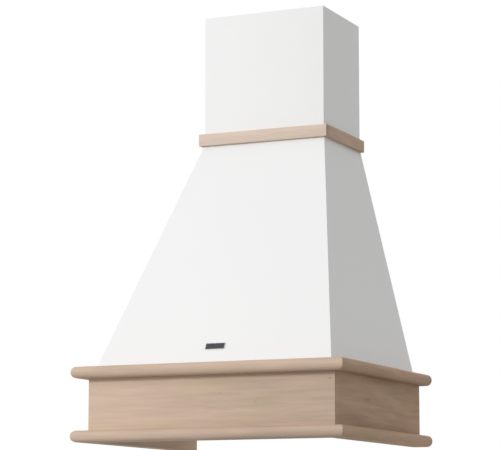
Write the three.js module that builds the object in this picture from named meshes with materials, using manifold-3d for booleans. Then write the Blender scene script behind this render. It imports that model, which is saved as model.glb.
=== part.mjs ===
// A wall-mounted kitchen range hood with a painted steel canopy and chimney over a raw timber frame.
//
// Millimetres, +Z up. +X is the hood's right hand as seen from the room, the front faces -Y and the
// wall is the plane y = 0. Heights in the code count from the frame's bottom edge; the last group
// lowers everything so that the origin lies on the wall midway between the two hanging keyholes.
import * as THREE from "three";
import { mergeVertices } from "three/addons/utils/BufferGeometryUtils.js";
import Module from "manifold-3d";

// ---------------------------------------------------------------- driving dimensions

const SHEET = 0.8; // painted and galvanised steel sheet
const CLEAR = 0.3; // between pieces that seat on each other
const SLIDE_CLEAR = 0.4; // round pieces that slide or turn in a guide
const ARC_STEPS = 32; // sides of a full circle
const OVERCUT = 1; // how far a cutting solid reaches past what it cuts

// Timber frame round the foot of the canopy: two bullnose mouldings with a flat frieze between them.
const FRAME_WIDTH = 600;
const FRAME_DEPTH = 508.5;
const FRAME_HEIGHT = 154;
const MOULDING_HEIGHT = 24;
const MOULDING_OVERHANG = 28.5; // beyond the frieze's face
const FRIEZE_THICKNESS = 14.5;
const GLUE_BLOCK = 18; // leg of the triangular block in each front corner
const MITRE_GAP = 0.3; // glue line of a mitre, measured across it

// Canopy: a truncated pyramid whose back stands on the wall.
const CANOPY_INSET_SIDE = 12.9; // from the frieze's side face to the canopy's foot
const CANOPY_INSET_FRONT = 12.3;
const CANOPY_HEIGHT = 494.5;
const CANOPY_FLANGE = 20; // turned in over the frame
const NECK_HEIGHT = 22; // upright lip round the chimney, hidden by the collar
const CORNER_LAP = 14; // folded laps that join the panels

// Timber collar over the joint between canopy and chimney.
const COLLAR_HEIGHT = 25.5;
const COLLAR_THICKNESS = 8.5;

// Chimney cover: a U of sheet with two flanges at the wall, sliding in the neck.
const CHIMNEY_WIDTH = 279.5;
const CHIMNEY_DEPTH = 209.3; // wall to front face
const CHIMNEY_SHOWN = 259.5; // above the collar
const CHIMNEY_HIDDEN = 70; // below the collar's top edge
const CHIMNEY_FLANGE = 22;
const CHIMNEY_OFF_WALL = 1.5;
const BRACKET_DROP = 40; // from the chimney's top edge to the bracket
const BRACKET_HEIGHT = 30;
const BRACKET_ARM = 45;
const BRACKET_SHEET = 2;

// Back plate with the hanging keyholes.
const HANG_HEIGHT = 560; // keyholes above the frame's bottom edge: the part's origin
const KEYHOLE_SPACING = 180;
const KEYHOLE_HEAD = 6; // radius the screw's head passes
const KEYHOLE_SHANK = 3; // half width of the slot above it
const KEYHOLE_RISE = 14;

// Deck over the cooking zone, with the apertures for two grease filters.
const DECK_RECESS = 62; // above the frame's bottom edge
const DECK_SIDE_MARGIN = 25;
const DECK_BAR = 12; // between the two filters
const DECK_FRONT_STRIP = 79; // carries the lamps and the buttons
const DECK_BACK_MARGIN = 72;
const LINER_OFF_FRAME = 0.5;

// Grease filters.
const FILTER_CLEAR = 1; // all round in the aperture
const FILTER_THICKNESS = 9;
const FILTER_PROUD = 1; // below the deck
const FILTER_SKIN = 1; // sheet of the rim
const FILTER_LIP = 12; // rim folded over the mesh
const FILTER_TAB = 7; // hooks over the deck's back edge
const FILTER_TAB_WIDTH = 26;
const PLEAT_PITCH = 9; // of the folded mesh inside the rim
const PLEAT_THICKNESS = 1.2; // measured upwards
const LATCH_WIDTH = 46;
const LATCH_DEPTH = 11;
const LATCH_GRIP = 2.6; // below the filter's rim
const LATCH_TRAVEL = 6;
const LATCH_BAY_SIDE = 2; // free of mesh beside the latch's slot
const LATCH_BAY_END = 1; // and past its travel
const BOLT_WIDTH = 22;
const BOLT_HEIGHT = 3;

// Lamps, one near each front corner of the deck.
const LAMP_FROM_LINER = 66;
const LAMP_BEZEL_RADIUS = 34;
const LAMP_BARREL_RADIUS = 29;
const LAMP_BARREL_HEIGHT = 24;
const LAMP_LENS_RADIUS = 24;
const LAMP_LENS_THICKNESS = 2.5;
const BEZEL_THICKNESS = 1.6;

// Row of push buttons between the lamps.
const BUTTON_WIDTH = 15;
const BUTTON_DEPTH = 11;
const BUTTON_PITCH = 21;
const BUTTON_PROUD = 3.2; // below its bezel
const BUTTON_TRAVEL = 2.5;
const BUTTON_RIM = 1.4; // stops the button from falling out of its window
const BUTTON_RIM_THICKNESS = 1.5;
const BUTTON_NAMES = ["button_light", "button_off", "button_speed_1", "button_speed_2", "button_speed_3"];
const BUTTON_BORDER = 8;
const SWITCH_BOX_HEIGHT = 18;

// Shelf across the canopy that carries the blower.
const SHELF_RISE = 238; // above the frame
const SHELF_SHEET = 1;
const SHELF_FRONT_CLEAR = 14; // past the laps of the front panel
const SHELF_FLANGE = 12;

// Blower: a double-inlet scroll with its axis along X, blowing up through the shelf.
const BLOWER_FROM_WALL = 185;
const BLOWER_BELOW_SHELF = 130;
const SCROLL_START_RADIUS = 80;
const SCROLL_END_RADIUS = 126;
const SCROLL_START_DEG = 70;
const SCROLL_STEPS = 36;
const SCROLL_WALL = 2;
const CASING_HALF_WIDTH = 70;
const CASING_FLANGE = 12;
const INLET_RADIUS = 58;
const IMPELLER_RADIUS = 74;
const IMPELLER_HALF_WIDTH = 62;
const IMPELLER_RING = 9; // radial depth of blades and end rings
const IMPELLER_PLATE = 2;
const BLADE_THICKNESS = 1.2;
const BLADE_COUNT = 24;
const BLADE_INSET = 0.4; // keeps each blade inside the faceted rings
const HUB_RADIUS = 12;
const HUB_HALF_LENGTH = 13;
const SHAFT_RADIUS = 4;
const SHAFT_STUB = 4; // past the hub's free end
const SHAFT_PASSAGE = 1; // round the shaft inside the motor
const MOTOR_RADIUS = 42;
const MOTOR_START = 17; // from the blower's middle along its axis
const MOTOR_LENGTH = 76;
const MOTOR_SHOULDER = 4; // chamfer of its end shields
const BEARING_RADIUS = 10;
const BEARING_WIDTH = 6;
const SPIDER_THICKNESS = 3;
const SPIDER_RING = 6;
const SPIDER_ARM = 10;
const SPIDER_ARM_DEGREES = [30, 150, 270];

// Outlet spigot with its two non-return flaps.
const SPIGOT_RADIUS = 75;
const SPIGOT_WALL = 2;
const SPIGOT_HEIGHT = 58;
const SPIGOT_FLANGE = 10;
const FLAP_HEIGHT = 38; // pin above the shelf
const FLAP_THICKNESS = 1.5;
const FLAP_EDGE_CLEAR = 2;
const FLAP_LEDGE = 4;
const FLAP_LEDGE_THICKNESS = 2;
const PIN_RADIUS = 1.6;
const KNUCKLE_WALL = 1.4;
const KNUCKLE_LENGTH = 24;
const KNUCKLE_GAP = 2;
const KNUCKLE_LAP = 2; // of its lug over the plate
const FLAP_ROOT = 5; // from the pin's axis to the plate's edge

// Electrics on the back plate.
const CONTROL_BOX = { width: 92, depth: 40, height: 78 };
const CONTROL_BOX_OFF_MOTOR = 25; // from the motor's outer end
const CONTROL_BOX_RISE = 26; // above the frame
const CAPACITOR_RADIUS = 15;
const CAPACITOR_LENGTH = 58;
const GLAND_RADIUS = 10;
const GLAND_HEIGHT = 20;
const GLAND_BORE = 4;
const GLAND_X = 112;
const GLAND_FROM_WALL = 45;

// Motor lead, from the control box's front face to the motor's end shield. Its x and rise count from
// the box's lower left corner.
const LEAD_RADIUS = 3;
const LEAD_SIDES = 8;
const LEAD_STEPS = 22;
const LEAD_STRAIGHT = 12; // at each end
const LEAD_EXIT = { x: 30, rise: 25 };
const LEAD_BENDS = [{ x: 24, y: -100, rise: 22 }, { x: 8, y: -150, rise: 34 }];

// Plain nameplate on the canopy's front.
const BADGE_WIDTH = 43;
const BADGE_HEIGHT = 15;
const BADGE_THICKNESS = 1.2;
const BADGE_RISE = 35; // middle of the plate above the frame

// ---------------------------------------------------------------- materials

const finish = (color, roughness, metalness) =>
  new THREE.MeshStandardMaterial({ color, roughness, metalness });
const timber = finish(0xc6ab93, 0.75, 0);
const paint = finish(0xefefef, 0.4, 0);
const galvanised = finish(0xb4b8bb, 0.45, 0.9);
const aluminium = finish(0xc9cbcd, 0.35, 1);
const steel = finish(0xa9abad, 0.3, 1);
const blackPlastic = finish(0x1d1e20, 0.5, 0);
const greyPlastic = finish(0x8d9093, 0.55, 0);
const frosted = finish(0xf4f4ee, 0.3, 0);
const enamel = finish(0x3a3c3e, 0.35, 0.4);
const cable = finish(0x222222, 0.6, 0);

// ---------------------------------------------------------------- solids

const wasm = await Module();
wasm.setup();

/** A closed three.js geometry as a manifold solid. */
function solid(geometry) {
  const bare = geometry.clone();
  bare.deleteAttribute("normal");
  bare.deleteAttribute("uv");
  const merged = mergeVertices(bare, 1e-4);
  return new wasm.Manifold(
    new wasm.Mesh({
      numProp: 3,
      vertProperties: new Float32Array(merged.attributes.position.array),
      triVerts: new Uint32Array(merged.index.array),
    }),
  );
}

/** A manifold solid as a three.js geometry. */
function geometryOf(body) {
  const { vertProperties, triVerts } = body.getMesh();
  const geometry = new THREE.BufferGeometry();
  geometry.setAttribute("position", new THREE.BufferAttribute(new Float32Array(vertProperties), 3));
  geometry.setIndex(new THREE.BufferAttribute(new Uint32Array(triVerts), 1));
  geometry.computeVertexNormals();
  return geometry;
}

const radians = THREE.MathUtils.degToRad;
const union = (...bodies) => bodies.flat().reduce((sum, body) => sum.add(body));
const cut = (body, ...tools) => tools.flat().reduce((left, tool) => left.subtract(tool), body);

/** A named mesh of one solid in its parent group. */
function piece(parent, name, body, material) {
  const mesh = new THREE.Mesh(geometryOf(body), material);
  mesh.name = name;
  parent.add(mesh);
  return mesh;
}

/** A box between two limits on each axis, given in either order. */
function box([xa, xb], [ya, yb], [za, zb]) {
  const geometry = new THREE.BoxGeometry(Math.abs(xb - xa), Math.abs(yb - ya), Math.abs(zb - za));
  geometry.translate((xa + xb) / 2, (ya + yb) / 2, (za + zb) / 2);
  return solid(geometry);
}

/** A block whose rectangular section changes evenly from one height to another. */
function taper(low, high) {
  const ring = ({ x, y, z }) => {
    const [x0, x1] = [Math.min(...x), Math.max(...x)];
    const [y0, y1] = [Math.min(...y), Math.max(...y)];
    return [x0, y0, z, x1, y0, z, x1, y1, z, x0, y1, z];
  };
  const geometry = new THREE.BufferGeometry();
  geometry.setAttribute("position", new THREE.Float32BufferAttribute([...ring(low), ...ring(high)], 3));
  const sides = [0, 1, 2, 3].flatMap((i) => {
    const j = (i + 1) % 4;
    return [i, j, j + 4, i, j + 4, i + 4];
  });
  geometry.setIndex([0, 2, 1, 0, 3, 2, 4, 5, 6, 4, 6, 7, ...sides]);
  return solid(geometry);
}

const outline = (points) => new THREE.Shape(points.map(([a, b]) => new THREE.Vector2(a, b)));

/** A shape extruded along Z, with a number of steps on each of its arcs. */
function extruded(shape, depth, steps = ARC_STEPS / 2) {
  return new THREE.ExtrudeGeometry(shape, { depth, bevelEnabled: false, curveSegments: steps });
}

/** A shape drawn in (x, y) between two heights. */
function alongZ(shape, za, zb) {
  return solid(extruded(shape, Math.abs(zb - za)).translate(0, 0, Math.min(za, zb)));
}

/** A shape drawn in (y, z) between two values of x. */
function alongX(shape, xa, xb) {
  const turn = new THREE.Matrix4().makeBasis(
    new THREE.Vector3(0, 1, 0),
    new THREE.Vector3(0, 0, 1),
    new THREE.Vector3(1, 0, 0),
  );
  const bar = extruded(shape, Math.abs(xb - xa)).applyMatrix4(turn);
  return solid(bar.translate(Math.min(xa, xb), 0, 0));
}

/** A shape drawn in (x, z) between two values of y. */
function alongY(shape, ya, yb, steps) {
  const turn = new THREE.Matrix4().makeBasis(
    new THREE.Vector3(1, 0, 0),
    new THREE.Vector3(0, 0, 1),
    new THREE.Vector3(0, -1, 0),
  );
  const bar = extruded(shape, Math.abs(yb - ya), steps).applyMatrix4(turn);
  return solid(bar.translate(0, Math.max(ya, yb), 0));
}

/** A profile of [radius, height] points turned about Z, or about X with its heights along +X. */
function turned(profile, axis = "z") {
  const geometry = new THREE.LatheGeometry(
    profile.map(([radius, height]) => new THREE.Vector2(radius, height)),
    ARC_STEPS,
  );
  if (axis === "x") geometry.rotateZ(-Math.PI / 2);
  else geometry.rotateX(Math.PI / 2);
  return solid(geometry);
}

const tube = (inner, outer, low, high, axis) =>
  turned([[inner, low], [outer, low], [outer, high], [inner, high], [inner, low]], axis);

const disc = (radius, low, high, axis) =>
  turned([[0, low], [radius, low], [radius, high], [0, high]], axis);

// ---------------------------------------------------------------- heights and outlines

const friezeHalfWidth = FRAME_WIDTH / 2 - MOULDING_OVERHANG;
const friezeDepth = FRAME_DEPTH - MOULDING_OVERHANG;
const openHalfWidth = friezeHalfWidth - FRIEZE_THICKNESS; // inside the timber frame
const openDepth = friezeDepth - FRIEZE_THICKNESS;

const neckZ = FRAME_HEIGHT + CANOPY_HEIGHT;
const collarTopZ = neckZ + COLLAR_HEIGHT;
const chimneyTopZ = collarTopZ + CHIMNEY_SHOWN;
const chimneyFootZ = collarTopZ - CHIMNEY_HIDDEN;
const shelfZ = FRAME_HEIGHT + SHELF_RISE;

const neckHalfWidth = CHIMNEY_WIDTH / 2 + CLEAR + SHEET;
const neckDepth = CHIMNEY_DEPTH + CLEAR + SHEET;
const footHalfWidth = friezeHalfWidth - CANOPY_INSET_SIDE;
const footDepth = friezeDepth - CANOPY_INSET_FRONT;

const sideSlope = (footHalfWidth - neckHalfWidth) / CANOPY_HEIGHT;
const frontSlope = (footDepth - neckDepth) / CANOPY_HEIGHT;
const sideSheet = SHEET * Math.hypot(1, sideSlope); // the sloping sheets measured level
const frontSheet = SHEET * Math.hypot(1, frontSlope);

/** Half width and depth of the canopy's outer faces at a height. */
const canopyHalfWidth = (z) => footHalfWidth - sideSlope * (z - FRAME_HEIGHT);
const canopyDepth = (z) => footDepth - frontSlope * (z - FRAME_HEIGHT);

// ---------------------------------------------------------------- timber frame

/** Plan of a mitred piece of the frame: "front", or a side of -1 (left) or 1 (right). */
function mitredPlan(which, innerHalfWidth, innerDepth, outerHalfWidth, outerDepth) {
  const halfGap = MITRE_GAP * Math.SQRT1_2;
  if (which === "front")
    return outline([
      [-outerHalfWidth + halfGap, -outerDepth],
      [outerHalfWidth - halfGap, -outerDepth],
      [innerHalfWidth - halfGap, -innerDepth],
      [-innerHalfWidth + halfGap, -innerDepth],
    ]);
  return outline([
    [which * outerHalfWidth, -outerDepth + halfGap],
    [which * outerHalfWidth, 0],
    [which * innerHalfWidth, 0],
    [which * innerHalfWidth, -innerDepth + halfGap],
  ]);
}

/** Section of a moulding: flat inside at 0, a full half-round nose at its outer edge. */
function bullnose(width) {
  const radius = MOULDING_HEIGHT / 2;
  const shape = new THREE.Shape();
  shape.moveTo(0, 0);
  shape.lineTo(width - radius, 0);
  shape.absarc(width - radius, radius, radius, -Math.PI / 2, Math.PI / 2);
  shape.lineTo(0, MOULDING_HEIGHT);
  return shape;
}

function moulding(which, bottom) {
  const width = MOULDING_OVERHANG + FRIEZE_THICKNESS;
  const plan = mitredPlan(which, openHalfWidth, openDepth, FRAME_WIDTH / 2, FRAME_DEPTH);
  const blank = alongZ(plan, 0, MOULDING_HEIGHT);
  const bar = extruded(bullnose(width), which === "front" ? FRAME_WIDTH : FRAME_DEPTH);
  // The profile's width runs outwards, its height up and its length along the piece.
  const outwards = which === "front" ? new THREE.Vector3(0, -1, 0) : new THREE.Vector3(which, 0, 0);
  const up = new THREE.Vector3(0, 0, 1);
  const along = new THREE.Vector3().crossVectors(outwards, up);
  bar.applyMatrix4(new THREE.Matrix4().makeBasis(outwards, up, along));
  if (which === "front") bar.translate(-along.x * (FRAME_WIDTH / 2), -openDepth, 0);
  else bar.translate(which * openHalfWidth, along.y < 0 ? 0 : -FRAME_DEPTH, 0);
  return solid(bar).intersect(blank).translate([0, 0, bottom]);
}

function timberFrame() {
  const frame = new THREE.Group();
  const upperZ = FRAME_HEIGHT - MOULDING_HEIGHT;
  for (const [which, name] of [["front", "front"], [-1, "left"], [1, "right"]]) {
    piece(frame, `lower_moulding_${name}`, moulding(which, 0), timber);
    piece(frame, `upper_moulding_${name}`, moulding(which, upperZ), timber);
    const plan = mitredPlan(which, openHalfWidth, openDepth, friezeHalfWidth, friezeDepth);
    piece(frame, `frieze_${name}`, alongZ(plan, MOULDING_HEIGHT, upperZ), timber);
  }
  for (const [side, name] of [[-1, "left"], [1, "right"]]) {
    const x = side * (openHalfWidth - CLEAR);
    const y = -openDepth + CLEAR;
    const block = outline([[x, y], [x, y + GLUE_BLOCK], [x - side * GLUE_BLOCK, y]]);
    piece(frame, `glue_block_${name}`, alongZ(block, MOULDING_HEIGHT, DECK_RECESS - CLEAR), timber);
  }
  return frame;
}

// ---------------------------------------------------------------- canopy

/** A strip of sheet that lies a given distance inside a side face, between two heights. */
function sideStrip(side, inset, yAt, lowZ, highZ) {
  const level = (z) => {
    const outer = canopyHalfWidth(z) - inset;
    return { x: [side * outer, side * (outer - sideSheet)], y: yAt(z), z };
  };
  return taper(level(lowZ), level(highZ));
}

function canopyFront() {
  const level = (z) => ({
    x: [-canopyHalfWidth(z), canopyHalfWidth(z)],
    y: [-canopyDepth(z), -canopyDepth(z) + frontSheet],
    z,
  });
  const face = taper(level(FRAME_HEIGHT), level(neckZ));
  const lip = box(
    [-neckHalfWidth, neckHalfWidth],
    [-neckDepth, -neckDepth + SHEET],
    [neckZ, neckZ + NECK_HEIGHT],
  );
  const foot = box(
    [-footHalfWidth + CANOPY_FLANGE + MITRE_GAP, footHalfWidth - CANOPY_FLANGE - MITRE_GAP],
    [-footDepth + frontSheet, -footDepth + CANOPY_FLANGE],
    [FRAME_HEIGHT, FRAME_HEIGHT + SHEET],
  );
  const lapY = (z) => [-canopyDepth(z) + frontSheet / 2, -canopyDepth(z) + CORNER_LAP];
  const laps = [-1, 1].map((side) =>
    sideStrip(side, sideSheet + CLEAR, lapY, FRAME_HEIGHT + SHEET + CLEAR, chimneyFootZ - CLEAR),
  );
  return union(face, lip, foot, laps);
}

function canopySide(side) {
  const face = sideStrip(side, 0, (z) => [-canopyDepth(z) + frontSheet + CLEAR, 0], FRAME_HEIGHT, neckZ);
  const outer = side * neckHalfWidth;
  const lip = box(
    [outer, outer - side * SHEET],
    [-neckDepth + SHEET + CLEAR, 0],
    [neckZ, neckZ + NECK_HEIGHT],
  );
  const foot = box(
    [side * (footHalfWidth - sideSheet), side * (footHalfWidth - CANOPY_FLANGE)],
    [-footDepth + frontSheet + frontSlope * SHEET + CLEAR, -SHEET - CLEAR],
    [FRAME_HEIGHT, FRAME_HEIGHT + SHEET],
  );
  return union(face, lip, foot);
}

/** One keyhole, drawn in (x, z) round the point where the screw hangs. */
function keyhole(x, z) {
  const shape = new THREE.Shape();
  const meet = Math.asin(KEYHOLE_SHANK / KEYHOLE_HEAD);
  shape.absarc(x, z - KEYHOLE_RISE, KEYHOLE_HEAD, Math.PI / 2 - meet, Math.PI / 2 + meet - Math.PI * 2, true);
  shape.absarc(x, z, KEYHOLE_SHANK, Math.PI, 0, true);
  return shape;
}

function backPlate() {
  const inset = sideSheet + CLEAR;
  const liner = openHalfWidth - LINER_OFF_FRAME;
  const plate = alongY(
    outline([
      [-liner, DECK_RECESS],
      [liner, DECK_RECESS],
      [liner, FRAME_HEIGHT - CLEAR],
      [canopyHalfWidth(FRAME_HEIGHT) - inset, FRAME_HEIGHT + CLEAR],
      [canopyHalfWidth(neckZ) - inset, neckZ],
      [neckHalfWidth - SHEET - CLEAR, neckZ + NECK_HEIGHT],
      [-neckHalfWidth + SHEET + CLEAR, neckZ + NECK_HEIGHT],
      [-canopyHalfWidth(neckZ) + inset, neckZ],
      [-canopyHalfWidth(FRAME_HEIGHT) + inset, FRAME_HEIGHT + CLEAR],
      [-liner, FRAME_HEIGHT - CLEAR],
    ]),
    -SHEET,
    0,
  );
  const lapBottom = FRAME_HEIGHT + SHEET + CLEAR;
  const laps = [-1, 1].map((side) => {
    return sideStrip(side, inset, () => [-CORNER_LAP, -SHEET / 2], lapBottom, chimneyFootZ - CORNER_LAP);
  });
  const holes = [-1, 1].map((side) => {
    return alongY(keyhole((side * KEYHOLE_SPACING) / 2, HANG_HEIGHT), -CORNER_LAP, CORNER_LAP, 10);
  });
  return cut(union(plate, laps), holes);
}

/** The plain nameplate, built flat and tilted with the canopy's front. */
function badge() {
  const plate = box(
    [-BADGE_WIDTH / 2, BADGE_WIDTH / 2],
    [-BADGE_THICKNESS, 0],
    [-BADGE_HEIGHT / 2, BADGE_HEIGHT / 2],
  );
  const mesh = new THREE.Mesh(geometryOf(plate), enamel);
  const z = FRAME_HEIGHT + BADGE_RISE;
  mesh.name = "badge_plate";
  mesh.rotation.x = -Math.atan(frontSlope);
  mesh.position.set(0, -canopyDepth(z) - CLEAR * Math.hypot(1, frontSlope), z);
  return mesh;
}

function canopy() {
  const group = new THREE.Group();
  piece(group, "canopy_front_panel", canopyFront(), paint);
  piece(group, "canopy_left_panel", canopySide(-1), paint);
  piece(group, "canopy_right_panel", canopySide(1), paint);
  piece(group, "back_plate", backPlate(), galvanised);
  group.add(badge());
  return group;
}

// ---------------------------------------------------------------- collar and chimney

function collar() {
  const group = new THREE.Group();
  const innerHalfWidth = neckHalfWidth + CLEAR;
  const innerDepth = neckDepth + CLEAR;
  for (const [which, name] of [["front", "front"], [-1, "left"], [1, "right"]]) {
    const plan = mitredPlan(
      which,
      innerHalfWidth,
      innerDepth,
      innerHalfWidth + COLLAR_THICKNESS,
      innerDepth + COLLAR_THICKNESS,
    );
    piece(group, `collar_${name}`, alongZ(plan, neckZ, collarTopZ), timber);
  }
  return group;
}

function chimney() {
  const group = new THREE.Group();
  const half = CHIMNEY_WIDTH / 2;
  const back = -CHIMNEY_OFF_WALL;
  const through = [chimneyFootZ - OVERCUT, chimneyTopZ + OVERCUT];
  const cover = cut(
    box([-half, half], [-CHIMNEY_DEPTH, back], [chimneyFootZ, chimneyTopZ]),
    box([-half + SHEET, half - SHEET], [-CHIMNEY_DEPTH + SHEET, back - SHEET], through),
    box([-half + CHIMNEY_FLANGE, half - CHIMNEY_FLANGE], [back - 2 * SHEET, OVERCUT], through),
  );
  piece(group, "chimney_cover", cover, paint);

  // A strap on the wall that steps forward over the cover's flanges and ends in an arm along each side.
  const end = half - SHEET - CLEAR;
  const middle = half - CHIMNEY_FLANGE - CLEAR;
  const step = back - SHEET - CLEAR;
  const plan = (side) => [
    [side * middle, 0],
    [side * middle, step],
    [side * end, step],
    [side * end, step - BRACKET_ARM],
    [side * (end - BRACKET_SHEET), step - BRACKET_ARM],
    [side * (end - BRACKET_SHEET), step - BRACKET_SHEET],
    [side * (middle - BRACKET_SHEET), step - BRACKET_SHEET],
    [side * (middle - BRACKET_SHEET), -BRACKET_SHEET],
  ];
  const top = chimneyTopZ - BRACKET_DROP;
  const bracket = alongZ(outline([...plan(1), ...plan(-1).reverse()]), top - BRACKET_HEIGHT, top);
  piece(group, "chimney_bracket", bracket, galvanised);
  return group;
}

// ---------------------------------------------------------------- liner and deck

const linerHalfWidth = openHalfWidth - LINER_OFF_FRAME;
const linerDepth = openDepth - LINER_OFF_FRAME;
const apertureWidth = linerHalfWidth - DECK_SIDE_MARGIN - DECK_BAR / 2;
const apertureX = DECK_BAR / 2 + apertureWidth / 2; // middle of the right aperture
const apertureFront = -(linerDepth - DECK_FRONT_STRIP);
const apertureBack = -DECK_BACK_MARGIN;
const stripY = (apertureFront - linerDepth) / 2; // middle of the strip with lamps and buttons
const lampX = linerHalfWidth - LAMP_FROM_LINER;
const rowHalfWidth = ((BUTTON_NAMES.length - 1) * BUTTON_PITCH + BUTTON_WIDTH) / 2;
const bezelHalfWidth = rowHalfWidth + BUTTON_BORDER;
const bezelHalfDepth = BUTTON_DEPTH / 2 + BUTTON_BORDER;

function liner() {
  const group = new THREE.Group();
  const heights = [DECK_RECESS + SHEET + CLEAR, FRAME_HEIGHT - CLEAR];
  const front = box([-linerHalfWidth, linerHalfWidth], [-linerDepth, -linerDepth + SHEET], heights);
  piece(group, "liner_front", front, galvanised);
  for (const [side, name] of [[-1, "left"], [1, "right"]]) {
    const wall = box(
      [side * linerHalfWidth, side * (linerHalfWidth - SHEET)],
      [-linerDepth + SHEET + CLEAR, -SHEET - CLEAR],
      heights,
    );
    piece(group, `liner_${name}`, wall, galvanised);
  }

  const deckZ = [DECK_RECESS, DECK_RECESS + SHEET];
  const through = [deckZ[0] - OVERCUT, deckZ[1] + OVERCUT];
  const sheet = box([-linerHalfWidth, linerHalfWidth], [-linerDepth, -SHEET - CLEAR], deckZ);
  const openings = [-1, 1].flatMap((side) => [
    box(
      [side * (apertureX - apertureWidth / 2), side * (apertureX + apertureWidth / 2)],
      [apertureFront, apertureBack],
      through,
    ),
    disc(LAMP_BARREL_RADIUS + CLEAR, ...through).translate([side * lampX, stripY, 0]),
  ]);
  const barrel = BUTTON_BORDER / 2;
  const controls = box(
    [-rowHalfWidth - barrel, rowHalfWidth + barrel],
    [stripY - BUTTON_DEPTH / 2 - barrel, stripY + BUTTON_DEPTH / 2 + barrel],
    through,
  );
  piece(group, "deck_plate", cut(sheet, openings, controls), paint);
  return group;
}

// ---------------------------------------------------------------- grease filters

/** One filter, drawn round the middle of its aperture with z = 0 at its lower face. */
function filter(name) {
  const group = new THREE.Group();
  const half = apertureWidth / 2 - FILTER_CLEAR;
  const front = apertureFront + FILTER_CLEAR;
  const back = apertureBack - FILTER_CLEAR;
  const skin = FILTER_SKIN;
  const overDeck = FILTER_PROUD + SHEET + CLEAR;

  // Two tabs at the back hook over the deck's edge.
  const tabs = [-1, 1].map((side) => {
    const x = side * (half - FILTER_TAB_WIDTH);
    const tabX = [x - FILTER_TAB_WIDTH / 2, x + FILTER_TAB_WIDTH / 2];
    return box(tabX, [back - skin, back + FILTER_TAB], [overDeck, overDeck + skin]);
  });
  const bolt = [overDeck, overDeck + BOLT_HEIGHT];
  const slotHalf = BOLT_WIDTH / 2 + CLEAR;
  const rim = cut(
    box([-half, half], [front, back], [0, FILTER_THICKNESS]),
    box([-half + skin, half - skin], [front + skin, back - skin], [skin, FILTER_THICKNESS - skin]),
    box(
      [-half + FILTER_LIP, half - FILTER_LIP],
      [front + FILTER_LIP, back - FILTER_LIP],
      [-OVERCUT, FILTER_THICKNESS + OVERCUT],
    ),
    box(
      [-slotHalf, slotHalf],
      [front - OVERCUT, front + skin + CLEAR],
      [bolt[0] - CLEAR, bolt[1] + CLEAR],
    ),
    box([-slotHalf, slotHalf], [front + skin, front + FILTER_LIP + OVERCUT], [-OVERCUT, skin + CLEAR]),
  );
  piece(group, `filter_rim_${name}`, union(rim, tabs), aluminium);

  // The pleated mesh fills the rim's channel and leaves a bay for the latch.
  const bayHalf = slotHalf + LATCH_BAY_SIDE;
  const bayBack = front + FILTER_LIP + LATCH_TRAVEL + LATCH_BAY_END;
  const meshHalf = half - skin - CLEAR;
  const meshZ = [skin + CLEAR, FILTER_THICKNESS - skin - CLEAR - PLEAT_THICKNESS];
  const pleats = 2 * Math.round(meshHalf / PLEAT_PITCH);
  const crease = (i) => [-meshHalf + (2 * meshHalf * i) / (2 * pleats), meshZ[i % 2]];
  const creases = Array.from({ length: 2 * pleats + 1 }, (_, i) => crease(i));
  const upper = creases.map(([x, z]) => [x, z + PLEAT_THICKNESS]).reverse();
  const mesh = cut(
    alongY(outline([...creases, ...upper]), front + skin + CLEAR, back - skin - CLEAR),
    box([-bayHalf, bayHalf], [front, bayBack], [0, FILTER_THICKNESS]),
  );
  piece(group, `filter_mesh_${name}`, mesh, aluminium);

  // The latch: a grip below the rim, a stem through its slot and a bolt behind its window.
  const boltHalf = BOLT_WIDTH / 2;
  const stemY = [front + skin + CLEAR, front + FILTER_LIP - LATCH_TRAVEL];
  const latch = union(
    box([-LATCH_WIDTH / 2, LATCH_WIDTH / 2], [stemY[0], stemY[0] + LATCH_DEPTH], [-LATCH_GRIP, -CLEAR]),
    box([-boltHalf, boltHalf], stemY, [-LATCH_GRIP / 2, bolt[1]]),
    box([-boltHalf, boltHalf], [front, stemY[1]], bolt),
  );
  piece(group, `filter_latch_${name}`, latch, blackPlastic);
  return group;
}

// ---------------------------------------------------------------- lamps and buttons

/** One lamp round its own axis, with z = 0 at the deck's lower face. */
function lamp(name) {
  const group = new THREE.Group();
  const bezelTop = -CLEAR;
  const seat = bezelTop - BEZEL_THICKNESS + LAMP_LENS_THICKNESS;
  const top = LAMP_BARREL_HEIGHT;
  const mouth = LAMP_LENS_RADIUS + CLEAR;
  const groove = 3; // depth and pitch of the cooling grooves
  const fins = [4, 2].flatMap((i) => [
    [LAMP_BARREL_RADIUS, top - i * groove],
    [LAMP_BARREL_RADIUS - groove, top - i * groove],
    [LAMP_BARREL_RADIUS - groove, top - (i - 1) * groove],
    [LAMP_BARREL_RADIUS, top - (i - 1) * groove],
  ]);
  const housing = turned([
    [0, seat + CLEAR],
    [mouth, seat + CLEAR],
    [mouth, bezelTop - BEZEL_THICKNESS],
    [LAMP_BEZEL_RADIUS, bezelTop - BEZEL_THICKNESS],
    [LAMP_BEZEL_RADIUS, bezelTop],
    [LAMP_BARREL_RADIUS, bezelTop],
    ...fins,
    [LAMP_BARREL_RADIUS, top],
    [0, top],
  ]);
  piece(group, `lamp_housing_${name}`, housing, steel);
  piece(group, `lamp_lens_${name}`, disc(LAMP_LENS_RADIUS, bezelTop - BEZEL_THICKNESS, seat), frosted);
  return group;
}

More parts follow.
